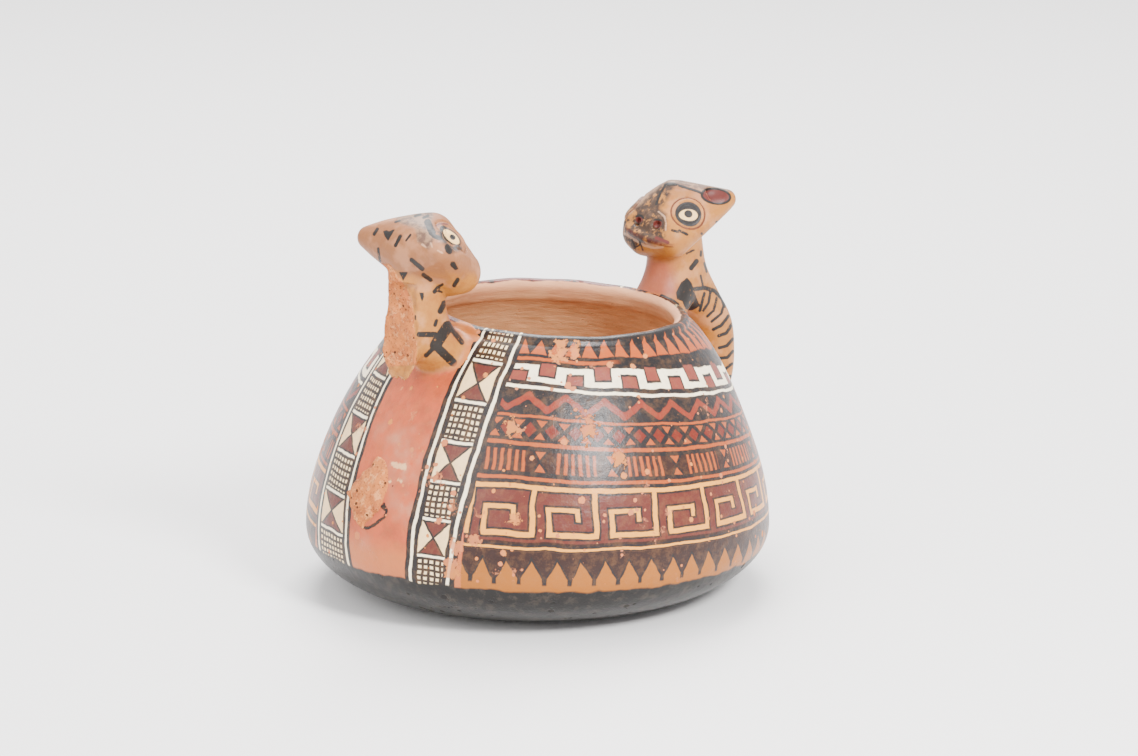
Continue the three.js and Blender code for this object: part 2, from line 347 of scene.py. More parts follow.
lip_turn = np.linspace(0, math.pi / 2, 12)[1:]
lip_arc = np.column_stack([
    LIP_CENTRE[0] + LIP_RADIUS * np.cos(lip_turn), LIP_CENTRE[1] + LIP_RADIUS * np.sin(lip_turn)])
WALL_TABLE = outline_table(np.vstack([outer, lip_arc]))
hollow_top = [(MOUTH_RADIUS - WALL, LIP_CENTRE[1]), (MOUTH_RADIUS - WALL, MOUTH_HEIGHT + 30)]
HOLLOW_TABLE = outline_table(np.vstack([inner, hollow_top]))


def pot_distances(points):
    """Distance to the pot's outside, to its hollow, and the points' places on the upright pot."""
    upright = unsettle(points)
    angle = np.arctan2(upright[..., 1], upright[..., 0])
    radius = np.hypot(upright[..., 0], upright[..., 1]) - wobble(angle, upright[..., 2])
    return (look_up(WALL_TABLE, radius, upright[..., 2]),
            look_up(HOLLOW_TABLE, radius, upright[..., 2]), upright)


print("table", WALL_TABLE.shape, "from", round(WALL_TABLE.min(), 1), "to", round(WALL_TABLE.max(), 1))

# %% [markdown]
# ## The felines' heads
# Each head is a wedge of clay with flat cheeks, a broad jaw and two ears drawn out of it. The skin that
# is stretched over a few balls has that form: every ball is a knuckle under the skin. Its distance is
# simple too. In each of many directions a flat board is pushed against the balls, and a point is as far
# away as the board that it is furthest in front of. The felines have a frame of their own: f runs
# forward to the mouth, l to the animal's left and u up, from the neck's middle at the lip's height.

# %% Stretched skin
BOARDS = 1400
board = np.arange(BOARDS) + 0.5
tilt = np.arccos(1 - 2 * board / BOARDS)
swing = math.pi * (1 + math.sqrt(5)) * board
BOARD_NORMALS = np.column_stack(
    [np.cos(swing) * np.sin(tilt), np.sin(swing) * np.sin(tilt), np.cos(tilt)]).astype(np.float32)


def mirrored(f, l, u, radius):
    return [(f, l, u, radius), (f, -l, u, radius)]


def head_balls(ear, own):
    """The knuckles of a head as (f, l, u, radius), with the left ear's tip at ear and some of its own."""
    middle = [(9.8, 0, 22.5, 4.6), (9, 0, 19, 5.2), (6, 0, 15.5, 6), (-3, 0, 26, 10)]
    return np.array(middle + mirrored(-5.6, 8.3, 30.6, 4) + mirrored(8, 7.7, 18.3, 6.8)
                    + mirrored(*ear, 3.7) + own, np.float32)


def stretched(points, balls):
    reach = (balls[:, :3] @ BOARD_NORMALS.T + balls[:, 3:]).max(0)
    flat = points.reshape(-1, 3)
    away = np.empty(len(flat), np.float32)
    for start in range(0, len(flat), 30000):
        part = slice(start, start + 30000)
        away[part] = (flat[part] @ BOARD_NORMALS.T - reach).max(1)
    return away.reshape(points.shape[:-1])


print(BOARDS, "boards")


# %% [markdown]
# The features are small cuts and pads on that skin: eyes as raised discs inside an incised ring, thumb
# prints in the ears, two nostrils and a slit of a mouth with low lips round it. They are made on both
# sides by the same lines, with `hand` turning left into right.

# %% Face
EYE_RADIUS, EYE_BALL, EYE_RELIEF = 6, 3.5, 1.1
MOUTH_SLANT = math.radians(-9)
MOUTH_AT = (12.5, 0.8, 18.9)
MOUTH_RADII = np.array([4, 11, 1.15], np.float32)
LIP_ROLL = (0.6, 0.4, 1.4)
NOSTRIL_AT, NOSTRIL_RADII = (13.3, 4.4, 23.5), np.array([1.9, 1.5, 1.6])
# The groove beside the nose, as (f, l, u).
NOSE_WING = [(8.6, 4.6, 26.2), (10.9, 6.6, 23.6), (12.2, 7.4, 20.6), (12.9, 6.6, 18.4)]


def disc(points, centre, normal, radii):
    """A lens that faces along the normal."""
    turned = (points - np.array(centre, np.float32)) @ facing(normal).T
    return to_oval(turned, np.array(radii, np.float32)), turned


def mouth_place(points):
    """Points in the slanting frame of the mouth."""
    c, s = math.cos(MOUTH_SLANT), math.sin(MOUTH_SLANT)
    slant = np.array([[1, 0, 0], [0, c, s], [0, -s, c]], np.float32)
    return (points - np.array(MOUTH_AT, np.float32)) @ slant.T


def head(points, eyes, ear, own):
    """Each eye is its place and the direction that it faces; the second one is the animal's right."""
    skin = stretched(points, head_balls(ear, own))
    at_mouth = mouth_place(points)
    skin = soft_join(skin, to_oval(at_mouth, MOUTH_RADII + LIP_ROLL), 1.6)
    for hand, (place, faces) in zip((1, -1), eyes):
        ball, at_eye = disc(points, place, faces, (EYE_RADIUS, EYE_RADIUS, EYE_RELIEF))
        from_axis = np.hypot(at_eye[..., 0], at_eye[..., 1])
        skin = soft_join(skin, ball, 0.4)
        for radius, depth in ((EYE_RADIUS + 0.25, 0.5), (EYE_BALL, 0.3)):
            ring = np.maximum(abs(from_axis - radius) - 0.42, abs(at_eye[..., 2]) - 4)
            skin = soft_cut(skin, np.maximum(ring, -skin - depth), 0.25)
        thumb, _ = disc(points, (ear[0] + 5.4, hand * (ear[1] - 0.2), ear[2] + 2.4),
                        (0.55, hand * 0.5, 0.67), (4.2, 3.4, 1.9))
        skin = soft_cut(skin, thumb, 0.9)
        skin = soft_cut(skin, ellipsoid(points, NOSTRIL_AT * np.array([1, hand, 1]), NOSTRIL_RADII), 0.5)
        groove = path_tube(points, [(f, hand * l, u) for f, l, u in NOSE_WING], 0.75)
        skin = soft_cut(skin, groove, 0.6)
    return soft_cut(skin, to_oval(at_mouth, MOUTH_RADII), 0.5)


print("a mouth of", 2 * MOUTH_RADII[1], "mm")

# %% [markdown]
# ## Necks, handle and break
# A neck is a stack of level ovals that widen over the shoulder. The whole feline's body is a rod with an
# oval section along a curve that arches out and comes back to the wall. Both come straight from sizes.

# %% Neck and arched body
# For each level u: the back, the front and the half width, in millimetres.
NECK_LEVELS = np.array([
    (22, -11.5, 8.5, 9), (12, -12.2, 9, 9), (5, -12.1, 10.3, 9.1), (0, -11.1, 12.9, 9.7),
    (-4, -9.9, 16.5, 10.4), (-8, -6.7, 18.5, 10.6), (-12, -1.5, 18.5, 9.4), (-16, 5.5, 18.5, 6),
])[::-1]
HANDLE_REACH, HANDLE_DROP, HANDLE_END = 23, 53, 5.75
HANDLE_THICK, HANDLE_WIDE = 7.8, 8.5


def neck(points):
    level = points[..., 2]
    rise = np.linspace(NECK_LEVELS[0, 0], NECK_LEVELS[-1, 0], 77)
    smooth = [np.convolve(np.pad(np.interp(rise, NECK_LEVELS[:, 0], NECK_LEVELS[:, i]), 4, "edge"),
                          np.ones(9) / 9, "valid") for i in (1, 2, 3)]
    back, front, wide = (np.interp(level, rise, values) for values in smooth)
    side = to_oval(np.stack([points[..., 0] - (front + back) / 2, points[..., 1]], -1),
                   np.stack([(front - back) / 2, wide], -1))
    return np.maximum(side, np.maximum(level - NECK_LEVELS[-1, 0], NECK_LEVELS[0, 0] - level))


def catmull_rom(stations, count):
    """A smooth line through stations, with the end stations doubled."""
    p = np.vstack([2 * stations[0] - stations[1], stations, 2 * stations[-1] - stations[-2]])
    t = np.linspace(0, len(stations) - 1.001, count)
    i = t.astype(int)
    s = (t - i)[:, None]
    a, b, c, d = p[i], p[i + 1], p[i + 2], p[i + 3]
    return 0.5 * (2 * b + (c - a) * s + (2 * a - 5 * b + 4 * c - d) * s**2
                  + (3 * b - a - 3 * c + d) * s**3)


# The rod's stations are f, u, half thickness and half width. In the arch, f and u are shares of the
# reach and the drop.
IN_THE_NECK = [(-2, 14, 8.5, 8.5), (-4.5, 6.5, 9, 8.5), (-9, -1.5, 8.6, 8.5)]
ARCH = [(0.67, 0.19), (0.93, 0.36), (1, 0.53), (0.96, 0.71), (0.74, 0.88), (HANDLE_END / HANDLE_REACH, 1)]
HANDLE_LINE = catmull_rom(np.array(IN_THE_NECK + [
    (-f * HANDLE_REACH, -u * HANDLE_DROP, HANDLE_THICK, HANDLE_WIDE) for f, u in ARCH]), 160)


def arched_body(points, rod):
    """Distance to the rod. Its curve lies in one plane, so the nearest station is found there once."""
    flat = np.stack([points[:, :1, :, 0], points[:, :1, :, 2]], -1)
    nearest = np.full(flat.shape[:3], 1e9)
    number = np.zeros(flat.shape[:3], int)
    for i, station in enumerate(rod):
        away = ((flat - station[:2]) ** 2).sum(-1)
        closer = away < nearest
        nearest, number = np.where(closer, away, nearest), np.where(closer, i, number)
    across, side, thick, wide = np.broadcast_arrays(
        np.sqrt(nearest), points[..., 1], rod[number, 2], rod[number, 3])
    return to_oval(np.stack([across, side], -1), np.stack([thick, wide], -1))


print("the arched body is", round(np.hypot(*np.diff(HANDLE_LINE[:, :2], axis=0).T).sum()), "mm long")

# %% [markdown]
# ## From distances to meshes
# Each feline gets a grid over its own box. In it the head, the neck and the body are joined, and then
# joined to the pot with a wide fillet. The pot's skin is set a tenth of a millimetre back for that, so
# the new mesh dives under the pot's surface instead of fighting with it. What is further from the animal
# than the fillet needs is cut off, inside the clay where nobody sees it.

# %% Feline meshes
GRID_STEP = 0.5
SUNK, FILLET, KEPT_IN_CLAY, CLEAR_OF_HOLLOW = 0.12, 4.5, 2.5, 1.5
NECK_OUT, NECK_ASIDE = 17.2, -1.4
BREAK_REACH, BREAK_SLANT, STUB_TOP, NAPE = -9.2, math.radians(4), 0, 21


def read_skin(field, corner, step):
    """The mesh where a field of distances is nought."""
    grid = openvdb.FloatGrid()
    grid.background = 3.0
    grid.copyFromArray(np.ascontiguousarray(field, np.float32))
    points, quads = grid.convertToQuads(0.0)
    return points.astype(float) * step + corner, quads


def neck_place(outward):
    """The neck's middle on the pot for the feline at +X (1) or at -X (-1)."""
    edge = settle(np.array([outward * MOUTH_RADIUS, 0.0, MOUTH_HEIGHT]))
    return np.array([edge[0] + outward * NECK_OUT, NECK_ASIDE, edge[2]])


def to_pot(local, outward):
    return local * (-outward, -outward, 1) + neck_place(outward)


def grid_in(box, step):
    """The points of a grid over a box."""
    axes = [np.arange(a, b, step, dtype=np.float32) for a, b in zip(*box)]
    return np.stack(np.meshgrid(*axes, indexing="ij"), -1)


def feline_field(local, outward, size, shift, **face):
    on_neck = (local - np.array(shift, np.float32)) / size
    skull = np.full(local.shape[:3], 9.0, np.float32)
    levels = np.where(on_neck[0, 0, :, 2] > 2)[0]
    skull[:, :, levels] = head(on_neck[:, :, levels], **face) * size
    body = soft_join(skull, neck(local), 1.2)
    rod = HANDLE_LINE if outward > 0 else HANDLE_LINE[HANDLE_LINE[:, 1] < STUB_TOP]
    body = soft_join(body, arched_body(local, rod), 3.5)
    if outward < 0:
        chips = 0.8 * lumps(local, 4.5, 5) + 0.45 * lumps(local, 1.9, 6) + 0.25 * lumps(local, 0.9, 7)
        behind = BREAK_REACH - (local[..., 0] * math.cos(BREAK_SLANT)
                                - local[..., 2] * math.sin(BREAK_SLANT)) + chips
        below_nape = np.clip((NAPE - local[..., 2]) / 3, 0, 1)
        body = np.maximum(body, behind * below_nape + (below_nape - 1) * 9)
    return body


def make_feline(name, outward, box, **shape):
    local = grid_in(box, GRID_STEP)
    body = feline_field(local, outward, **shape)
    wall, hollow, _ = pot_distances(to_pot(local, outward).astype(float))
    skin = soft_join(body, wall + SUNK, FILLET)
    skin = np.maximum(skin, body - FILLET - KEPT_IN_CLAY)
    skin = np.maximum(skin, CLEAR_OF_HOLLOW - hollow)
    points, quads = read_skin(skin, np.array(box[0]), GRID_STEP)
    placed = to_pot(points, outward)
    off_wall, _, upright = pot_distances(placed)
    return new_piece(name, placed, quads.tolist(),
                     {"rest": upright, "local": points, "off_wall": off_wall})


WHOLE = dict(
    size=1, shift=(0, 0, 0), ear=(-14.8, 13.1, 30.2),
    eyes=[((3.5, 10.9, 27.3), (0.57, 0.63, 0.53)), ((5.2, -13.3, 25.6), (0.36, -0.79, 0.49))],
    own=[(0, 0, 33, 4.5), (3, -9, 25.2, 5.6), (6.7, -9.5, 22.6, 5.8), (8.6, -5.2, 16.4, 6.2)])
BROKEN = dict(
    size=1.12, shift=(1.5, 0, -0.6), ear=(-7.6, 15.2, 28.2),
    eyes=[((2.8, 10 * hand, 30.2), (0.26, 0.65 * hand, 0.71)) for hand in (1, -1)],
    own=[(0, 0, 32.2, 4.5), (4.2, 0, 29.2, 7.1)] + mirrored(1.5, 6.3, 26, 5.6))
whole_feline = make_feline("whole_feline", 1, ((-34, -21, -66), (30, 21, 42)), **WHOLE)
print("whole feline:", len(whole_feline.data.polygons), "quads")
broken_feline = make_feline("broken_feline", -1, ((-24, -23, -30), (30, 23, 43)), **BROKEN)
print("broken feline:", len(broken_feline.data.polygons), "quads")

# %% [markdown]
# ## The scar on the wall
# The lost body ended low on the wall. When it broke off it took the slip with it and left a raised, rough
# patch of bare clay with pores. Its outline is an uneven polygon on the wall, and the patch is the wall's
# own distance, moved out where the point is inside that polygon.

# %% Wall scar
# Corners on the upright pot: angle in degrees and height in millimetres.
SCAR_CORNERS = [(175.4, 56.7), (179.6, 54.2), (181.2, 48.5), (180.2, 43.5), (178, 38.5), (175.4, 34),
                (171.9, 36.2), (168.5, 41.5), (167.3, 43.5), (169.6, 49.2), (171.9, 53.5), (173.8, 56.2)]
SCAR_HEIGHT, SCAR_RADIUS, SCAR_HEADING, SCAR_STEP = 2.1, 78, 175, 0.42
SCAR_MM = math.radians(SCAR_RADIUS)


def polygon(across, up, corners):
    """Signed distance to a polygon in a plane, less than nothing inside."""
    away = np.full(across.shape, 1e9)
    inside = np.zeros(across.shape, bool)
    for (ax, ay), (bx, by) in zip(corners, corners[1:] + corners[:1]):
        ex, ey = bx - ax, by - ay
        px, py = across - ax, up - ay
        t = np.clip((px * ex + py * ey) / (ex * ex + ey * ey), 0, 1)
        away = np.minimum(away, (px - ex * t) ** 2 + (py - ey * t) ** 2)
        crosses = (ay > up) != (by > up)
        inside ^= crosses & ((px * ey < ex * py) if ey > 0 else (px * ey > ex * py))
    return np.sqrt(away) * np.where(inside, -1, 1)


def make_scar():
    heading = math.radians(SCAR_HEADING)
    centre = np.array([SCAR_RADIUS * math.cos(heading), SCAR_RADIUS * math.sin(heading), 45.0])
    placed = grid_in(((-11, -15, -16), (11, 15, 16)), SCAR_STEP).astype(float) + centre
    wall, hollow, upright = pot_distances(placed)
    degrees = np.degrees(np.arctan2(upright[..., 1], upright[..., 0])) % 360
    corners = [((a - SCAR_HEADING) * SCAR_MM, h) for a, h in SCAR_CORNERS]
    ragged = 0.9 * lumps(placed, 3.4, 21) + 0.4 * lumps(placed, 1.4, 22)
    edge = polygon((degrees - SCAR_HEADING) * SCAR_MM, upright[..., 2], corners) + ragged
    rough = 0.4 * lumps(placed, 2.6, 23) + 0.3 * lumps(placed, 1.2, 24) + 0.16 * lumps(placed, 0.7, 25)
    height = SCAR_HEIGHT * (1 - np.exp(np.minimum(edge, 0) / 1.5)) + rough
    skin = np.maximum(wall - height, edge - 0.3)
    skin = np.maximum(np.maximum(skin, 2.0 - hollow), -wall - 2.5)
    points, quads = read_skin(skin, np.array(placed[0, 0, 0]), SCAR_STEP)
    return new_piece("wall_scar", points, quads.tolist(), {"rest": unsettle(points)})


wall_scar = make_scar()
print("wall scar:", len(wall_scar.data.polygons), "quads")

# %% [markdown]
# ## Stencils for the felines' markings
# The black spots, stripes and legs on the animals were laid on with the brush from the side. A stencil
# does the same: it is a flat drawing, looked at from the side that shows it best, and every point that
# faces that side gets its distance to the drawing. `across` and `up` are the drawing's axes, in
# millimetres. What faces away takes the same drawing in a mirror, and what faces neither is kept clean.

# %% Stencils
# Across, up and towards the painter, as shares of forward, left and up.
PAINTER = np.array([(-0.682, 0.731, 0), (-0.174, -0.163, 0.971), (0.71, 0.66, 0.24)])
FACES_PAINTER, BLANK = 0.08, 9.0


def seen_from(vectors, outward, hand):
    """Points or normals as the painter sees them, or with the other hand in a mirror."""
    return (vectors * (outward, hand, 1)) @ PAINTER.T


def strokes(across, up, marks):
    """Distance to brush strokes, each a half width and the points it runs through."""
    p = np.column_stack([across, up])
    away = np.full(len(p), BLANK)
    for half, *route in marks:
        route = [route[0]] * 2 if len(route) == 1 else route
        for a, b in zip(route, route[1:]):
            a, b = np.array(a, float), np.array(b, float)
            along = b - a
            t = np.clip((p - a) @ along / max(along @ along, 1e-9), 0, 1)
            away = np.minimum(away, np.linalg.norm(p - a - t[:, None] * along, axis=1) - half)
    return away


def oval(across, up, long, short, tilt):
    """The corners of an oval leaf, tilted by degrees."""
    turn = np.radians(np.arange(0, 360, 20))
    x, y, slope = long * np.cos(turn), short * np.sin(turn), math.radians(tilt)
    return [(across + a * math.cos(slope) - b * math.sin(slope),
             up + a * math.sin(slope) + b * math.cos(slope)) for a, b in zip(x, y)]


def leaves(across, up, shapes):
    away = np.full(len(across), BLANK)
    for corners in shapes:
        away = np.minimum(away, polygon(across, up, corners))
    return away


def vectors_of(data):
    values = np.empty(len(data) * 3, np.float32)
    data.foreach_get("vector", values)
    return values.reshape(-1, 3)


def stencil(piece, outward, shape, marks):
    """Stores the markings' distances on the piece, and where each point is from the eye and the mouth."""
    mesh = piece.data
    local = vectors_of(mesh.attributes["local"].data)
    normal = vectors_of(mesh.vertex_normals) * (-outward, -outward, 1)
    drawing, mirror = (seen_from(local, outward, hand) for hand in (outward, -outward))
    facing_it, facing_mirror = (seen_from(normal, outward, hand)[:, 2] for hand in (outward, -outward))
    first = facing_it > FACES_PAINTER
    turned_away = np.where(first, 0, np.clip(0.12 - facing_mirror, 0, 1) * 12)
    across, up, _ = np.where(first[:, None], drawing, mirror).T
    for name, (drawn, filled) in marks.items():
        away = np.minimum(strokes(across, up, drawn), leaves(across, up, filled))
        add_numbers(mesh, name, np.minimum(away + turned_away, BLANK))
    on_neck = (local - np.array(shape["shift"], np.float32)) / shape["size"]
    at_eye = [(on_neck - np.array(place, np.float32)) @ facing(faces).T for place, faces in shape["eyes"]]
    at_eye = np.where(local[:, 1:2] > 0, *at_eye)
    at_eye[:, 0] = abs(at_eye[:, 0]) + np.clip(abs(at_eye[:, 2]) - 3, 0, 9)
    add_numbers(mesh, "eye", at_eye)
    add_numbers(mesh, "mouth", to_oval(mouth_place(on_neck), MOUTH_RADII))
    print(piece.name, "carries", [layer.name for layer in mesh.attributes if layer.domain == "POINT"])


# %% [markdown]
# Each marking is a half width and its points, or a filled outline. A few dabs beside the scar on the wall
# are kept the same way, with the pot's own angle and height as axes. The whole feline has a brow line, a
# leaf-shaped leg, an arch over its back and ribs that curve down the handle. The broken one has short
# dabs all over its neck and a jointed foreleg.

# %% Markings
WHOLE_MARKS = {
    "black": ([
        (0.5, (-2.4, 34.9), (1.6, 34.8), (9.8, 32.1), (11, 31.5)),
        (0.45, (-2.4, 34.9), (-4.6, 31), (-5.8, 27.6)), (0.7, (-1.6, 35), (0.6, 35)),
        (0.55, (16.2, 21.2)), (0.5, (10.6, 16.9)),
        (0.35, (5.2, 9.8), (8, 11.2)), (0.45, (10.7, 10.8), (10.6, 9.2)),
        (0.9, (9, 7.2), (7, 4.6)), (0.5, (12.1, 6.6), (12.9, 3.6)),
        (0.42, (10.6, 2), (11.5, -1.6)),
        (0.8, (8.4, -2.9), (12.4, -2.4), (16, -3.4), (19.1, -6.3), (19.8, -8.8)),
        (0.55, (12.1, -4.4), (11.1, -8.3), (10.6, -10.6)), (0.5, (14.4, -3.6), (13.7, -7.8), (11.9, -10.6)),
        (0.5, (16.8, -6), (15.7, -10.6), (13.4, -12.6)), (0.5, (19.6, -8.3), (18.6, -11.6), (15, -14.6)),
        (0.6, (21.4, -12.4), (18.6, -16), (15.7, -17.5)), (0.65, (22.8, -15.4), (20.6, -18.8), (17.8, -19.8)),
        (0.6, (23.2, -20.8), (20.9, -23.4), (18, -24.2)), (0.6, (23.2, -25.4), (21.1, -27.8), (18.3, -28)),
        (0.55, (23, -30), (20.4, -31.9), (18, -32.2)), (0.55, (22.4, -34.6), (19.8, -36.4)),
        (0.3, (-14.6, 14.9), (-13.4, 12), (-11.6, 13), (-11.4, 15)), (0.3, (-12, 14.4), (-10.6, 11)),
        (0.5, (-0.2, 17.9), (2, 17.3)), (0.5, (2.4, 17.8), (5.2, 16.4)),
        (0.7, (-3.8, -5.6), (-0.6, -7), (2, -8.6)), (0.9, (4.2, -11.6), (5.8, -14.6)),
    ], [
        [(5.5, 1.2), (3.2, -0.6), (1.4, -4.2), (1.65, -6.8), (3.7, -7.5), (5, -10.4), (7.8, -10.6),
         (10.6, -8.9), (8.8, -5.2), (7.2, -0.6)],
    ]),
    "red": ([
        # The last stroke paints the near end of the mouth slit, where the clay is not cut; its dark maroon is
        # partly painted shade of the slit.
        (1.3, (-11.9, 22.2)), (1.5, (-5.5, 20.3)), (0.6, (-6, 15.2), (-1.8, 13.5)),
    ], [oval(15.9, 30.7, 5.2, 2.75, -6)]),
    "crown": ([], [
        [(-20, 26), (-15, 31), (-6, 38), (0.6, 41), (14, 37), (24, 34.5), (24, 31.8), (14.5, 33.6),
         (11, 32.2), (9.8, 32.7), (1.6, 35.2), (-2.2, 35.2), (-5.2, 32), (-9.5, 28.5), (-16, 23.5)],
    ]),
    # Painted highlights: pale lines along the edge of the lower lip and down the nose, where light catches
    # them.
    "pale": ([
        (0.4, (-17.3, 17.2), (-13.4, 14.6), (-10.1, 12.6), (-6.4, 11.6), (-3.6, 11.9)),
        (0.3, (-5, 24.8), (-2.9, 23), (-2.4, 20.4), (-2.6, 17.9)),
    ], []),
    "muzzle": ([], [
        [(-2, 35.6), (-9, 30), (-18.5, 22), (-19, 14), (-14, 9.6), (-11, 13), (-3, 13.5), (-2.4, 18),
         (-2.2, 24), (-4.6, 26), (-3.2, 31)],
        [(-4, 35.2), (1.2, 34.6), (-1.2, 30.5), (-3.4, 27), (-7, 26.5), (-7, 31)],
    ]),
}
BROKEN_MARKS = {
    "black": ([
        (0.6, (-14.1, 34.3), (-15.2, 32.5)), (0.65, (-5.9, 31.6), (-7.6, 28.4)),
        (0.4, (-2.4, 32), (-3.9, 30)), (0.45, (-13.8, 27.6), (-13.2, 23.3)),
        (0.8, (-2, 23.4), (1.6, 20.4)), (0.75, (1.9, 18.4), (4.2, 16.8)),
        (0.75, (5.4, 12.8), (6.6, 14.2)), (0.45, (6.7, 14.6), (8.2, 15.3)), (0.4, (6.4, 13.2), (7.8, 12.8)),
        (0.9, (8.6, 9.2), (7.2, 6.2)), (0.6, (6, 3.1), (5.5, 1.4)), (0.35, (-1.1, 4.6), (-1.1, 3.4)),
        (0.7, (13.4, 16.9), (12.1, 15)),
        (1.9, (9.8, 1.2), (5.6, -5.4)), (0.75, (5.2, -6.2), (2.4, -8.8)), (0.95, (0.3, -1.7), (5.6, -1.7)),
        (0.9, (10.6, 0.8), (14.4, -4.3)), (1.5, (6.8, -6.6), (11.4, -11.2)),
        (1.2, (3.2, 36.4), (5, 32.6)), (0.8, (5.6, 31.4), (7.6, 30.6)), (1.3, (8.6, 34), (9.4, 31.2)),
        (0.5, (-1.2, 38.6), (0.6, 39.2)), (0.5, (1.8, 38), (3.2, 38.8)), (0.4, (-8, 36.6), (-6.4, 37)),
    ], [
        [(-12.1, 33.5), (-10.7, 33.9), (-9.9, 33.3), (-8.6, 34), (-8, 33.8), (-8.8, 32.2), (-10.3, 29.9),
         (-11.6, 32)],
        [(-6.6, 19.5), (-3.3, 19.5), (-5.1, 16.4)],
        [(0.3, 12.5), (2.1, 12.5), (1.9, 11.2), (1.3, 9.2), (0.6, 11.2)],
        [(11, 21.7), (11.4, 22.8), (12.7, 22.8), (13.7, 20.4), (12.7, 19.9), (11.4, 21)],
        oval(10.6, 26.9, 1.9, 1.2, 110),
    ]),
    "red": ([(0.3, (6.1, 35.1), (7.2, 35.9), (9.8, 35.9))], []),
    "ball": ([], [oval(11.3, 31.4, 3.4, 1.5, -43)]),
    "pupil": ([], [oval(11.7, 31.3, 1.1, 0.9, -43)]),
    "pale": ([
        (0.3, (1.6, 28.6), (3, 27.6)), (0.3, (4.6, 29), (5.2, 27.6)), (0.3, (7, 26.4), (8.6, 25.6)),
    ], []),
    "crown": ([], [
        [(-8, 38), (-2, 40.5), (4.4, 42), (5, 38.4), (3.4, 34), (5.6, 30), (4, 26.5), (0, 29.5), (-1, 34.4),
         (-6, 36)],
    ]),
    "muzzle": ([], [[(6.5, 33), (8.5, 29), (12, 25.8), (16, 27), (14, 29.5), (9.5, 34.5)]]),
    "scar": ([], [
        [(-9.6, 22), (-5.5, 16.2), (-2.9, 11.5), (-1.4, 4.8), (-1.6, 0.9), (-0.6, -5), (-0.8, -12),
         (-30, -14), (-30, 20), (-12, 22.5)],
    ]),
}
SCAR_DABS = {
    "black": [(0.6, (180.4, 43.8), (182.5, 41.5), (182.1, 39.2), (179.6, 36.2), (177.7, 34.6), (175.8, 33.8)),
              (1.1, (180.8, 42.3)), (0.6, (182.1, 49.3))],
    "pale": [(0.9, (180.6, 56), (184.8, 55.8)), (0.7, (181, 50.5)), (0.7, (184, 52), (184.6, 51.4))],
}


def dab_on_wall(piece, marks):
    """The distance to the dabs, in millimetres on the wall at the scar's height."""
    rest = vectors_of(piece.data.attributes["rest"].data)
    across = (np.degrees(np.arctan2(rest[:, 1], rest[:, 0])) % 360) * SCAR_MM
    for name, drawn in marks.items():
        flat = [(half, *[(angle * SCAR_MM, height) for angle, height in route]) for half, *route in drawn]
        add_numbers(piece.data, name, strokes(across, rest[:, 2], flat))


dab_on_wall(pot, SCAR_DABS)
stencil(whole_feline, 1, WHOLE, WHOLE_MARKS)
stencil(broken_feline, -1, BROKEN, BROKEN_MARKS)

# %% [markdown]
# ## Calculating with sockets
# The paint is a matter of numbers: is this point less than a millimetre from that line? In Blender such
# sums are Math nodes, and a few hundred of them are slow to place by hand. So one small class wraps a
# socket and gives it Python's own operators. `height - 20` then adds a Subtract node and returns its
# output. Any other node comes from the method `node`, with its settings first and its sockets after.

# %% Socket
class Socket:
    """An output socket of a node, with Python's operators on it."""
    tree = None

    def __init__(self, out):
        self.out = out

    @staticmethod
    def node(kind, settings=None, inputs=None, output=0):
        made = Socket.tree.nodes.new(kind)
        for key, value in (settings or {}).items():
            setattr(made, key, value)
        for key, value in (inputs or {}).items():
            if isinstance(value, Socket):
                Socket.tree.links.new(value.out, made.inputs[key])
            else:
                made.inputs[key].default_value = value
        return Socket(made.outputs[output])

    def math(self, operation, *others, clamp=False):
        settings = {"operation": operation, "use_clamp": clamp}
        return Socket.node("ShaderNodeMath", settings, dict(enumerate((self, *others))))

    def __add__(self, other):
        return self.math("ADD", other)

    def __sub__(self, other):
        return self.math("SUBTRACT", other)

    def __mul__(self, other):
        return self.math("MULTIPLY", other)

    def __truediv__(self, other):
        return self.math("DIVIDE", other)

    def __rsub__(self, other):
        return Socket.node("ShaderNodeMath", {"operation": "SUBTRACT"}, {0: other, 1: self})

    def __abs__(self):
        return self.math("ABSOLUTE")

    __radd__ = __add__


def least(first, *others):
    for other in others:
        first = first.math("MINIMUM", other)
    return first


def most(first, *others):
    for other in others:
        first = first.math("MAXIMUM", other)
    return first


print("the socket's words:", sorted(word for word in vars(Socket) if not word.startswith("__")))

# %% [markdown]
# ## A painter's words
# A brush mark is a mask from 0 to 1 with a slightly soft edge, because the slip bleeds a little before it
# dries. `under` and `over` turn a distance into such a mask, `line` makes a stripe, and `nearest` repeats
# a motif by measuring to the nearest of many places at once. `lay` puts a colour on a ground by a mask,
# and it is a Mix node, since a Math node would turn the colour grey.

# %% Painter's words
SOFT = 0.24


def under(value, limit, soft=SOFT):
    """1 where value is less than limit."""
    return value.math("MULTIPLY_ADD", -1 / soft, limit / soft + 0.5, clamp=True)


def over(value, limit, soft=SOFT):
    """1 where value is more than limit."""
    return value.math("MULTIPLY_ADD", 1 / soft, 0.5 - limit / soft, clamp=True)


def line(value, low_edge, high_edge, soft=SOFT):
    """1 between two edges."""
    middle, half = (low_edge + high_edge) / 2, (high_edge - low_edge) / 2
    return under(abs(value - middle), half, soft)


def nearest(value, first, pitch):
    """How far value is from the nearest of the places first, first + pitch, first + 2 pitch and so on."""
    return (value - first).math("PINGPONG", pitch / 2)


def distance(across, up):
    return (across * across + up * up).math("SQRT")


def box(across, left, right, up, bottom, top):
    """Distance into a rectangle, in the units of its sides, more than nothing inside."""
    return least((right - left) / 2 - abs(across - (left + right) / 2),
                 (top - bottom) / 2 - abs(up - (bottom + top) / 2))


def lay(ground, colour, mask):
    return Socket.node("ShaderNodeMix", {"data_type": "RGBA"}, {0: mask, 6: ground, 7: colour}, 2)


def mixed(first, second, mask):
    """A number instead of a colour."""
    return Socket.node("ShaderNodeMix", {"data_type": "FLOAT"}, {0: mask, 2: first, 3: second}, 0)


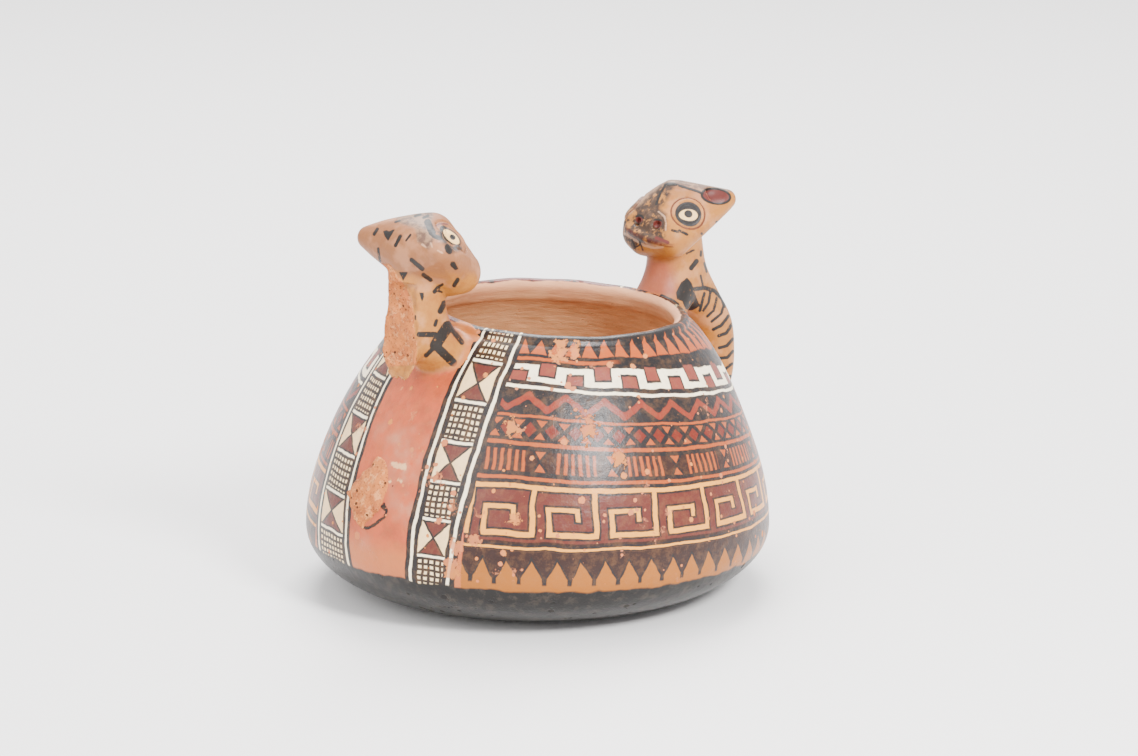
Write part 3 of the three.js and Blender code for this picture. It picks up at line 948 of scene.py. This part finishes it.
def slip(code):
    """A paint's colour from its sRGB code, as the light-linear values that Blender wants."""
    values = [int(code[i:i + 2], 16) / 255 for i in (0, 2, 4)]
    return [v / 12.92 if v <= 0.04045 else ((v + 0.055) / 1.055) ** 2.4 for v in values] + [1]


def noise(place, size, detail=2.0, roughness=0.5, output=0):
    """Noise about size millimetres wide, from 0 to 1, or as output 1 three such numbers."""
    inputs = {"Vector": place, "Scale": 1 / size, "Detail": detail, "Roughness": roughness}
    return Socket.node("ShaderNodeTexNoise", None, inputs, output)


def shaken(place, size, amount, detail=2.0, roughness=0.5):
    """Noise round nought, half the amount to either side."""
    return (noise(place, size, detail, roughness) - 0.5) * amount


def channels(vector):
    return [Socket(out) for out in Socket.node("ShaderNodeSeparateXYZ", None, {0: vector}).out.node.outputs]


def cells(place, spacing):
    """The distance to the nearest of many random points, and that point's own number from 0 to 1."""
    made = Socket.node("ShaderNodeTexVoronoi", None, {"Vector": place, "Scale": 1 / spacing}).out.node
    return Socket(made.outputs[0]), channels(Socket(made.outputs[1]))[0]


def attribute(name, output="Fac"):
    return Socket.node("ShaderNodeAttribute", {"attribute_name": name}, None, output)


CREAM, FRET_CREAM, CELL_CREAM, KNOT_CREAM = map(slip, ("f6e6c4", "d88e32", "ecd0a0", "e6c28c"))
MAROON, NOTCH_RED, WAVE_RED, LIP_MAROON = map(slip, ("54231b", "743328", "742818", "5a1f17"))
ORANGE, LOZENGE_RED, PANEL_RED, PANEL_SHADE = map(slip, ("9a4412", "601c10", "ae4e2c", "893d24"))
TAN_GROUND, LOW_CLAY, CLAY, CLAY_SHADE = map(slip, ("8f5210", "b06430", "ac662a", "a4592c"))
WORN_CLAY, WORN_SHADE, THIN_BROWN, HAZE = map(slip, ("bc7030", "b4683e", "8c6038", "dcb491"))
DARK, RIM_BLACK, BASE_BLACK, SOOT = map(slip, ("1d1818", "161212", "181615", "4a4038"))
BROWN, STROKE_BROWN, GRID_BROWN, DAB_CREAM = map(slip, ("281612", "2c1914", "241912", "e8c890"))
INSIDE_TAN, INSIDE_SHADE, INSIDE_LIGHT, DARKER_LIP_RING = map(slip, ("cc9a6e", "a06c3c", "e0b080", "b8765a"))
print("cream is", [round(v, 2) for v in CREAM[:3]])

# %% [markdown]
# ## Where on the wall
# The bands run round the pot, so the shader needs an angle and a height. Both come from `rest`, the place
# on the upright pot: the angle is an arctangent. The front and the back panel are the same, half a turn
# apart, so the angle is wrapped into one half. The painter's hand trembled and let the bands sink towards
# the right, which is the noise and the `droop` here.

# %% Wall places
DEGREES = 180 / math.pi
SINK_FROM, SINK_OVER = 215, 95
SHOULDER, UPPER_PART, LOWER_PART = 70, 21.5, 45


class WallPlace:
    """Where a point is on the wall, as sockets that every band is painted by."""

    def __init__(self):
        self.rest = attribute("rest", "Vector")
        x, y, self.height = channels(self.rest)
        self.angle = y.math("ARCTAN2", x) * DEGREES
        shake, fine = (channels(noise(self.rest, size, 1, output=1)) for size in (11, 2.2))
        half = self.angle.math("WRAP", 360.0, 180.0)
        self.turn = half + (shake[0] - 0.5) * 1.5 + (fine[0] - 0.5) * 0.35
        self.level = self.height + (shake[1] - 0.5) * 1.3 + (fine[1] - 0.5) * 0.4
        past = (self.turn - SINK_FROM).math("MAXIMUM", 0.0).math("MINIMUM", SINK_OVER)
        upper = (self.height - SHOULDER).math("MAXIMUM", 0.0) * (1 / UPPER_PART)
        lower = (SHOULDER - self.height).math("MAXIMUM", 0.0) * (1 / LOWER_PART)
        weight = 1.6 - upper * upper - (lower * lower).math("MINIMUM", 0.6)
        self.band = self.level + past * (past * 0.00035 + 0.045) * weight


# %% [markdown]
# ## The bands of the panel
# From the lip down the panel has seven bands. Each is painted by its own few lines of sums on the ground
# that the earlier ones left, top to bottom, as the painter did. Heights are the bands' own, in
# millimetres above the ground at the panel's left end.

# %% Rim and meander
NOTCH_PITCH, NOTCH_HALF = 9.75, 3.2


def stripes(colour, at, *rows):
    """Level stripes laid one after the other, each a paint, its lower edge and its upper edge."""
    for paint, bottom, top in rows:
        colour = lay(colour, paint, line(at.band, bottom, top))
    return colour


def rim_band(colour, at):
    """A black edge with small orange triangles, and a line under them that fades away."""
    near = nearest(at.turn, 243.5, 6.6)
    triangle = (98.4 - at.band) * 0.78 - near * 0.95
    colour = lay(colour, RIM_BLACK, over(at.band, 91.7))
    colour = lay(colour, ORANGE, over(triangle, 0) * over(at.band, 94.6))
    return lay(colour, ORANGE, line(at.band, 92.8, 93.7) * under(at.turn, 246, 6))


def meander_band(colour, at):
    """Cream battlements: maroon notches come from above and from below in turn."""
    near = nearest(at.turn, 221.7, 2 * NOTCH_PITCH)
    from_above = least(NOTCH_HALF - near, at.band - 88.2)
    from_below = least(near - (NOTCH_PITCH - NOTCH_HALF), 90.1 - at.band)
    notch = most(from_above, from_below)
    zone = line(at.band, 86.3, 92.2)
    colour = stripes(colour, at, (CREAM, 86.7, 91.6))
    colour = lay(colour, DARK, over(notch, 0) * zone)
    colour = lay(colour, NOTCH_RED, over(notch, 0.62) * zone)
    return stripes(colour, at, (DARK, 85.4, 86.7), (CREAM, 84.6, 85.5))


def wave_band(colour, at):
    """A red wave on dark slip, with an orange line below."""
    phase = (at.turn - 216.8) * (2 * math.pi / 12.2)
    swing = phase.math("COSINE") + (phase * 3).math("COSINE") * 0.14
    off = abs(at.band - 80.7 - swing * 1.75)
    colour = stripes(colour, at, (DARK, 77.0, 84.6))
    colour = lay(colour, WAVE_RED, under(off, 1.15, 0.35))
    return stripes(colour, at, (DARK, 75.2, 77.0), (ORANGE, 76.0, 76.8))


def lozenge_band(colour, at):
    """Dark red lozenges with orange triangles between them."""
    near = nearest(at.turn, 212, 6.58)
    middle = abs(at.band - 72.5)
    zone = line(at.band, 69.7, 75.3)
    between = (middle - 0.75) * 0.92 - (3.29 - near) * 1.15
    lozenge = 2.6 - near * 1.1 - middle
    colour = lay(colour, DARK, zone)
    colour = lay(colour, ORANGE, over(between, 0) * zone)
    colour = lay(colour, DARK, over(lozenge, -0.35) * zone)
    colour = lay(colour, LOZENGE_RED, over(lozenge, 0.3))
    return stripes(colour, at, (DARK, 66.2, 69.7), (ORANGE, 67.5, 68.7))


# %% [markdown]
# The lower half has the stroke band with its hourglasses, the fret and the row of teeth. The fret is the
# one motif with a direction, so it measures how far left of its upright a point is, from 0 to one pitch.

# %% Strokes, fret and teeth
FRET_FIRST, FRET_PITCH, FRET_MM, FRET_TOP = 221.4, 15.9, 1.36, 54.6


def stroke_band(colour, at):
    """Groups of short upright strokes, with an hourglass between the groups."""
    zone = line(at.band, 59.0, 66.3)
    near = nearest(at.turn, 222.6, 19.75)
    stroke = under(nearest(at.turn, 212, 1.95), 0.44, 0.3) * over(near, 3.9)
    sideways, upright = near * 1.25, abs(at.band - 62.65) * 0.72
    colour = lay(colour, STROKE_BROWN, zone)
    colour = lay(colour, ORANGE, stroke * zone)
    colour = lay(colour, DARK, under(abs(sideways - upright), 0.55) * zone * under(near, 3.4))
    colour = lay(colour, ORANGE, over(upright - 0.42 - sideways, 0.1) * line(at.band, 59.4, 66.0))
    return stripes(colour, at, (DARK, 55.1, 59.3), (DARK, 66.0, 66.9), (ORANGE, 56.7, 57.8))


def fret_band(colour, at):
    """A cream angular fret on maroon, with a dark outline."""
    left = (FRET_FIRST - at.turn).math("WRAP", FRET_PITCH, 0.0) * FRET_MM
    down = FRET_TOP - at.band
    from_upright = nearest(at.turn, FRET_FIRST, FRET_PITCH) * FRET_MM
    drawn = most(
        least(0.9 - from_upright, 8.35 - abs(down - 7.75)), 0.75 - abs(down),
        box(left, -1.0, 16.8, down, 14.3, 16.1), box(left, 15.1, 16.8, down, 6.0, 16.1),
        box(left, 5.5, 16.8, down, 6.0, 7.5), box(left, 5.5, 7.1, down, 6.0, 10.6))
    colour = stripes(colour, at, (MAROON, 36.8, 55.2))
    colour = lay(colour, DARK, over(drawn, -0.75) * under(down, 17.3))
    colour = lay(colour, FRET_CREAM, over(drawn, 0))
    return stripes(colour, at, (DARK, 33.2, 36.0), (FRET_CREAM, 34.2, 35.1))


def teeth_band(colour, at):
    """Dark teeth that hang over the tan ground like funnels."""
    near = nearest(at.turn, 213, 5.87) * 1.42
    grown = ((at.band - 24.5) * (1 / 6.6)).math("MAXIMUM", 0.0)
    tooth = 0.45 + grown.math("POWER", 0.92) * 3.8 - near
    zone = under(at.band, 33.6)
    hanging = over(at.band, 22.3, 0.6) * zone
    colour = lay(colour, TAN_GROUND, zone)
    colour = lay(colour, DARK, over(tooth, -0.3) * hanging)
    return lay(colour, BROWN, over(tooth, 0.45) * hanging)


print("a fret has a pitch of", round(math.radians(FRET_PITCH) * BELLY_RADIUS, 1), "mm on the belly")

# %% [markdown]
# ## The columns beside the panel
# At each end of the panel a column of cells stands upright: hatched cells and bow-ties in turn, between
# dark and cream lines. The two columns of a panel lean differently, so each has its own pair of edges,
# which move with the height. Places across the column are counted in millimetres from those edges.

# %% Columns
CELL_FIRST, CELL_PITCH, HOLE = 29.1, 12.35, 0.5


def column(colour, at, outer_edge, inner_edge, direction):
    """One column of cells. Its edges are (angle at 30 mm, degrees for each millimetre of height)."""
    start, end = (angle + (at.level - 30) * lean for angle, lean in (outer_edge, inner_edge))
    scale = (1.3 - abs(at.level - 25) * 0.0045) * direction
    from_start, from_end, width = ((far - near) * scale for far, near in (
        (at.turn, start), (at.turn, end), (end, start)))
    inside = over(from_start, 0) * under(from_end, 0)
    cell = (at.level - CELL_FIRST) / CELL_PITCH
    which = cell.math("FLOOR")
    share = cell - which
    tie = abs(share - 0.5) * 2 - abs(from_start / width - 0.5) * 2
    knot = lay(KNOT_CREAM, MAROON, over(tie, 0.06, 0.05))
    knot = lay(knot, DARK, under(abs(tie), 0.085, 0.04))
    holes = least(HOLE - nearest(from_start, 1.0, 1.88), HOLE - nearest(at.level, CELL_FIRST, 1.9))
    hatch = lay(GRID_BROWN, CELL_CREAM, over(holes, 0))
    from_bar = abs(share - share.math("ROUND")) * CELL_PITCH
    lines = most(line(from_start, -2.55, -1.5), line(from_end, 1.6, 2.75), under(from_bar, 0.42) * inside)
    colour = lay(colour, DARK, over(from_start, -4.2) * under(from_end, 4.6))
    colour = lay(colour, lay(knot, hatch, abs(which).math("MODULO", 2.0)), inside)
    colour = lay(colour, DARK, under(from_bar, 1.05) * inside)
    return lay(colour, CREAM, lines)


print("a cell is", CELL_PITCH, "mm high")

# %% [markdown]
# ## The whole wall
# Outside the columns, below each feline, lies a field of plain red slip over the bare clay, which shows
# above the field and round the animal's foot. Then come the things that happened to the pot: slip has
# flaked off in round chips, the red is cloudy where the brush ran dry, and the base is black from use.

# %% Clay and wear
LEFT_COLUMN = ((193.5, 0.0), (200.4, 0.075), 1)
RIGHT_COLUMN = ((348.0, -0.16), (336.5, -0.138), -1)


def plain_field(at):
    """The red field under a feline, its clay margin and their clouds."""
    cloud = noise(at.rest, 24, 3, 0.55)
    mottle = noise(at.rest, 5, 4, 0.6)
    colour = lay(PANEL_RED, PANEL_SHADE, over(mottle, 0.52, 0.25) * 0.55)
    colour = lay(colour, HAZE, over(cloud, 0.58, 0.2) * over(mottle, 0.46, 0.3) * 0.32)
    bare = over(at.height + (cloud - 0.5) * 7, 86.5, 2.0)
    colour = lay(colour, lay(CLAY, CLAY_SHADE, over(mottle, 0.5, 0.3)), bare)
    return lay(colour, LOW_CLAY, under(at.height + (cloud - 0.5) * 9, 29, 6) * 0.7)


# Where the slip is rubbed through: angle in degrees, height and radius in millimetres. The one at -124
# degrees and 73 mm is partly painted highlight, the satin shine on the panel.
SCUFFS_AND_SHINE = [(-135, 95.8, 5.5), (-128.5, 96, 3.5), (-146.5, 72.5, 4.5), (-124, 73, 4.5), (-116, 63, 3.5),
          (-156.5, 34, 3.6), (-157.5, 26, 4.2), (-152.5, 36.6, 3), (-143, 44, 2.5), (-176, 88, 4)]


def round_chips(place, spacing, chance_gain, least_size, grain):
    """More than nothing in round chips: one in each cell, most of them too small to show."""
    away, chance = cells(place, spacing)
    return chance * chance_gain - least_size - away + (grain - 0.5) * 0.16


def wear(colour, at):
    """Round chips and rubs down to the clay, one rub partly painted highlight, and a general thinning of the
    slip.
    """
    grain = noise(at.rest, 1.1, 3, 0.6)
    patches = noise(at.rest, 16, 4, 0.65)
    fret_zone = line(at.height, 28, 60, 6)
    small = round_chips(at.rest, 3.6, 0.42, 0.24, grain) + fret_zone * 0.07 + (patches - 0.5) * 0.5
    chips = most(over(round_chips(at.rest, 7.5, 0.27, 0.07, grain), 0, 0.03), over(small, 0, 0.04))
    ragged = shaken(at.rest, 3, 3.4, 4, 0.7)
    rubs_and_shine = [distance((at.angle - angle) * 1.25, at.height - height) * (1 / radius) + ragged
              for angle, height, radius in SCUFFS_AND_SHINE]
    rubbed = most(over(patches + (grain - 0.5) * 0.25, 0.68, 0.05), under(least(*rubs_and_shine), 0.62, 0.15))
    bared = lay(WORN_CLAY, WORN_SHADE, over(patches, 0.52, 0.1))
    colour = lay(colour, bared, most(chips, rubbed * 0.85))
    thin = over(noise(at.rest, 3.2, 4, 0.7), 0.56, 0.2) * 0.16
    return lay(colour, THIN_BROWN, thin), most(chips, rubbed)


print("columns at", LEFT_COLUMN[0][0], "and", RIGHT_COLUMN[0][0], "degrees")

# %% [markdown]
# The material puts all of it together. Inside the pot there is no slip but streaked, bare clay, wiped
# round by hand, with a darker, pinker ring under the lip. `inward` says where the outside ends.

# %% Pot material
def new_material(name):
    material = bpy.data.materials.new(name)
    material.use_nodes = True
    Socket.tree = material.node_tree
    return material, material.node_tree.nodes["Principled BSDF"]


def finish(surface, colour, roughness, relief):
    """Links the paint, the gloss and the relief, given in millimetres, to the shader."""
    bump = Socket.node("ShaderNodeBump", None, {"Strength": 1.0, "Distance": MM, "Height": relief})
    for name, value in (("Base Color", colour), ("Roughness", roughness), ("Normal", bump)):
        Socket.tree.links.new(value.out, surface.inputs[name])
    surface.inputs["Specular IOR Level"].default_value = 0.27


def inside_clay(at, inward):
    """Bare clay with wiping marks and a darker, pinker ring below the lip."""
    wiped = Socket.node("ShaderNodeVectorMath", {"operation": "MULTIPLY"}, {0: at.rest, 1: (0.18, 0.18, 1.0)})
    streak = noise(wiped, 1.5, 4, 0.6)
    cloud = noise(at.rest, 20, 3, 0.5)
    colour = lay(INSIDE_TAN, INSIDE_SHADE, over(streak, 0.52, 0.35) * 0.6)
    colour = lay(colour, INSIDE_LIGHT, over(cloud, 0.52, 0.3) * 0.45)
    return lay(colour, DARKER_LIP_RING, under(inward + (cloud - 0.5) * 9, 9, 8) * 0.45), streak


def pot_material():
    material, surface = new_material("painted_clay")
    at = WallPlace()
    inward = attribute("inward")
    panel = BROWN
    for band in (rim_band, meander_band, wave_band, lozenge_band, stroke_band, fret_band, teeth_band):
        panel = band(panel, at)
    colour = lay(plain_field(at), panel, over(at.turn, 205) * under(at.turn, 333))
    for edges in (LEFT_COLUMN, RIGHT_COLUMN):
        colour = column(colour, at, *edges)
    colour = lay(colour, DAB_CREAM, under(attribute("pale") + shaken(at.rest, 1.5, 2), 0, 0.6) * 0.5)
    colour = lay(colour, RIM_BLACK, under(attribute("black") + shaken(at.rest, 1.2, 0.6), 0))
    colour, worn = wear(colour, at)
    heading = at.angle * (1 / DEGREES)
    edge = at.height - (heading - math.radians(186)).math("COSINE") * 2.6
    soot = lay(BASE_BLACK, SOOT, over(noise(at.rest, 4, 5, 0.7), 0.56, 0.1) * 0.35)
    colour = lay(colour, soot, under(edge + shaken(at.rest, 9, 3.5), 17.2, 0.7))
    far_side = over(heading.math("SINE"), 0.1, 0.3)
    lip = over(inward, -1.9, 0.6) * (1 - over(noise(at.rest, 3.4, 3, 0.6), 0.57, 0.04))
    colour = lay(colour, lay(RIM_BLACK, LIP_MAROON, far_side), lip)
    clay, streak = inside_clay(at, inward)
    within = over(inward + shaken(at.rest, 6, 2.4) - far_side * 0.9, 0.9, 0.5)
    colour = lay(colour, clay, within)
    roughness = mixed(mixed(0.33, 0.62, worn), 0.66, within) + shaken(at.rest, 2.5, 0.12, 3, 0.6)
    relief = noise(at.rest, 0.8, 3, 0.65) * 0.08 - worn * 0.12
    relief = relief + mixed(noise(at.rest, 6, 2) * 0.25, streak * 0.3, within)
    finish(surface, colour, roughness, relief)
    return material


pot.data.materials.append(pot_material())
print("painted_clay:", len(Socket.tree.nodes), "nodes")

# %% [markdown]
# ## Felines' clay
# The animals are the same clay, burnished and washed with thin slip that turned golden on the necks and
# pinkish on the head of the broken one. The stencils' distances become brush marks here, with ragged
# edges. The whole one's eye follows the distance from the eye's axis, and the broken one's has stencils of
# its own. Where the animal meets the wall its colour gives way to the wall's.

# %% Feline materials
GOLD_CLAY, GOLD_SHADE, HEAD_CLAY, HEAD_LIGHT = map(slip, ("9c6426", "8a4d17", "7e4e32", "c48a66"))
THROAT_RED, EAR_RED, MOUTH_RED_AND_SLIT_SHADE, PALE_STROKE_AND_HIGHLIGHT = map(slip, ("83382a", "55201a", "421414", "d2a684"))
CROWN_GREY, CROWN_SHADE, SMOKE, SMOKE_SHADE = map(slip, ("85684f", "4c3b33", "3c2c22", "191615"))
SPOT_BLACK, EYE_BLACK, EYE_CREAM, EYE_RING = map(slip, ("1a1512", "1e1a19", "e8bc78", "5a2c18"))
SCAR_CLAY, SCAR_SHADE, SCAR_LIGHT, PORE_BROWN = map(slip, ("b0652f", "8a4526", "d08f58", "2a160d"))
LID = 0.65


def raw_clay(place):
    """The inside of the clay where it broke, rough and porous: its colour and its pores."""
    colour = lay(SCAR_CLAY, SCAR_SHADE, over(noise(place, 5, 4, 0.65), 0.53, 0.14) * 0.6)
    colour = lay(colour, SCAR_LIGHT, over(noise(place, 2.6, 4, 0.7), 0.57, 0.1) * 0.6)
    away, chance = cells(place, 1.9)
    pores = under(away - chance * 0.42 + 0.13, 0, 0.05)
    specks = over(noise(place, 0.7, 2, 0.5), 0.63, 0.06)
    return lay(colour, PORE_BROWN, most(pores * 0.9, specks * 0.6)), pores


def open_eye(skin):
    """A ring in the clay, a black surround, a cream ball that the lid flattens, and the pupil."""
    across, up, _ = channels(attribute("eye", "Vector"))
    from_pupil = distance(across, up + 0.6)
    skin = lay(skin, EYE_RING, line(distance(across, up), 5.9, 6.5))
    skin = lay(skin, EYE_BLACK, under(from_pupil, 4.85))
    skin = lay(skin, EYE_CREAM, under(distance(across * LID, up + 1.0), 3.4 * LID))
    return lay(skin, EYE_BLACK, under(from_pupil, 1.55))


def half_hidden_eye(skin):
    """The broken one's eye: a dark edge, a cream ball and the pupil."""
    ball = attribute("ball")
    skin = lay(skin, EYE_BLACK, under(ball, 0.5, 0.5) * 0.85)
    skin = lay(skin, EYE_CREAM, under(ball, 0))
    return lay(skin, EYE_BLACK, under(attribute("pupil"), 0))


def feline_material(name, scarred):
    material, surface = new_material(name)
    at = WallPlace()
    local = attribute("local", "Vector")
    forward, _, up = channels(local)
    ragged = shaken(local, 1.5, 0.9, 3, 0.6)
    cloud, mottle = noise(local, 9, 3, 0.55), noise(local, 3.2, 4, 0.65)
    red = attribute("red")
    skin = lay(GOLD_CLAY, GOLD_SHADE, over(mottle, 0.54, 0.2) * 0.5)
    skin = lay(skin, HEAD_CLAY, over(up + (cloud - 0.5) * 16, 20 if scarred else 34, 5) * 0.8)
    skin = lay(skin, HEAD_LIGHT, over(cloud, 0.57, 0.12) * 0.3)
    skin = lay(skin, THROAT_RED, over(forward, 6.5, 4) * line(up, -3, 10, 4) * 0.75)
    crown = lay(CROWN_GREY, CROWN_SHADE, over(mottle, 0.5, 0.12))
    skin = lay(skin, crown, under(attribute("crown") + ragged, 0, 0.8) * 0.8)
    smoke = lay(SMOKE, SMOKE_SHADE, over(noise(local, 1.8, 3, 0.6), 0.47, 0.1))
    smoked = under(attribute("muzzle"), 0, 1.4) * over(mottle + (cloud - 0.5) * 0.5, 0.42, 0.1)
    skin = lay(skin, smoke, smoked * 0.92)
    skin = lay(skin, EAR_RED, under(red + ragged * 0.4, 0))
    # Pale lines: painted highlights along the whole feline's lip and nose, and short pale strokes below the
    # broken one's eye.
    skin = lay(skin, PALE_STROKE_AND_HIGHLIGHT, under(attribute("pale") + ragged * 0.5, 0) * 0.45)
    worn = over(noise(local, 2.1, 4, 0.7), 0.33, 0.12)
    painted = under(attribute("black") + ragged * 0.5, 0) * worn
    if not scarred:
        painted = most(painted, under(abs(red - 0.1), 0.45) * over(up, 25))
    skin = lay(skin, SPOT_BLACK, painted)
    # Dark maroon in and round the mouth slit: partly the mouth's red and partly painted shade of the slit.
    skin = lay(skin, MOUTH_RED_AND_SLIT_SHADE, under(attribute("mouth"), 0.5))
    skin = half_hidden_eye(skin) if scarred else open_eye(skin)
    relief = noise(local, 1.1, 3, 0.65) * 0.07 + noise(local, 5, 2) * 0.25
    roughness = mixed(0.4, 0.58, mottle)
    if scarred:
        raw, pores = raw_clay(local)
        broken = under(attribute("scar") + ragged * 1.4, 0, 0.5)
        skin = lay(skin, raw, broken)
        roughness = mixed(roughness, 0.85, broken)
        relief = relief + (noise(local, 1.6, 4, 0.7) * 0.5 - pores * 0.5) * broken
    colour = lay(plain_field(at), skin, over(attribute("off_wall") + ragged, 0.7, 1.4))
    finish(surface, colour, roughness, relief)
    return material


def scar_material():
    material, surface = new_material("raw_clay")
    place = attribute("rest", "Vector")
    colour, pores = raw_clay(place)
    finish(surface, colour, mixed(0.8, 0.9, pores), noise(place, 1.4, 4, 0.7) * 0.5 - pores * 0.5)
    return material


whole_feline.data.materials.append(feline_material("slipped_feline", False))
broken_feline.data.materials.append(feline_material("slipped_and_broken_feline", True))
wall_scar.data.materials.append(scar_material())
print("felines and scar painted")

# %% [markdown]
# ## Floor and light
# The pot stands on a plain pale floor. A small soft lamp to the right gives the satin shine on the panel,
# a wide one from the left fills the shadows, one above lights the mouth, one behind brightens the crowns
# and the floor, and a pale sky lights the rest.

# %% Floor and lights
FLOOR_HALF = 3
FLOOR_COLOUR, SKY_COLOUR, SKY_STRENGTH = (0.74, 0.725, 0.715, 1), (0.98, 0.98, 1.0, 1), 1.7
# Each lamp's direction from the pot, distance and side in metres, and watts.
LAMPS = {
    "key_lamp": ((-0.20, -0.82, 0.56), 1.1, 0.26, 28),
    "fill_lamp": ((-0.95, -0.05, 0.55), 1.3, 0.9, 12),
    "top_lamp": ((0.2, 0.3, 1.0), 1.2, 0.8, 12),
    "far_floor_lamp": ((0.6, 0.56, 1.1), 1.8, 1.0, 62),
}

floor_mesh = bpy.data.meshes.new("floor")
corners = [(x * FLOOR_HALF, y * FLOOR_HALF, 0) for x, y in ((-1, -1), (1, -1), (1, 1), (-1, 1))]
floor_mesh.from_pydata(corners, [], [(0, 1, 2, 3)])
floor_piece = bpy.data.objects.new("floor", floor_mesh)
bpy.context.scene.collection.objects.link(floor_piece)
floor_material, floor_surface = new_material("pale_floor")
floor_surface.inputs["Base Color"].default_value = FLOOR_COLOUR
floor_surface.inputs["Roughness"].default_value = 0.85
floor_mesh.materials.append(floor_material)


def soft_lamp(name, direction, distance_away, size, power):
    """A square area lamp that looks at the pot."""
    lamp = bpy.data.lights.new(name, "AREA")
    lamp.size = size
    lamp.energy = power
    holder = bpy.data.objects.new(name, lamp)
    holder.location = AIM + Vector(direction).normalized() * distance_away
    holder.rotation_euler = Vector(direction).to_track_quat("Z", "Y").to_euler()
    bpy.context.scene.collection.objects.link(holder)


for name, setting in LAMPS.items():
    soft_lamp(name, *setting)
world = bpy.data.worlds.new("soft_room")
world.use_nodes = True
world.node_tree.nodes["Background"].inputs["Color"].default_value = SKY_COLOUR
world.node_tree.nodes["Background"].inputs["Strength"].default_value = SKY_STRENGTH
bpy.context.scene.world = world
print(len(LAMPS), "lamps and a pale sky")

# %% [markdown]
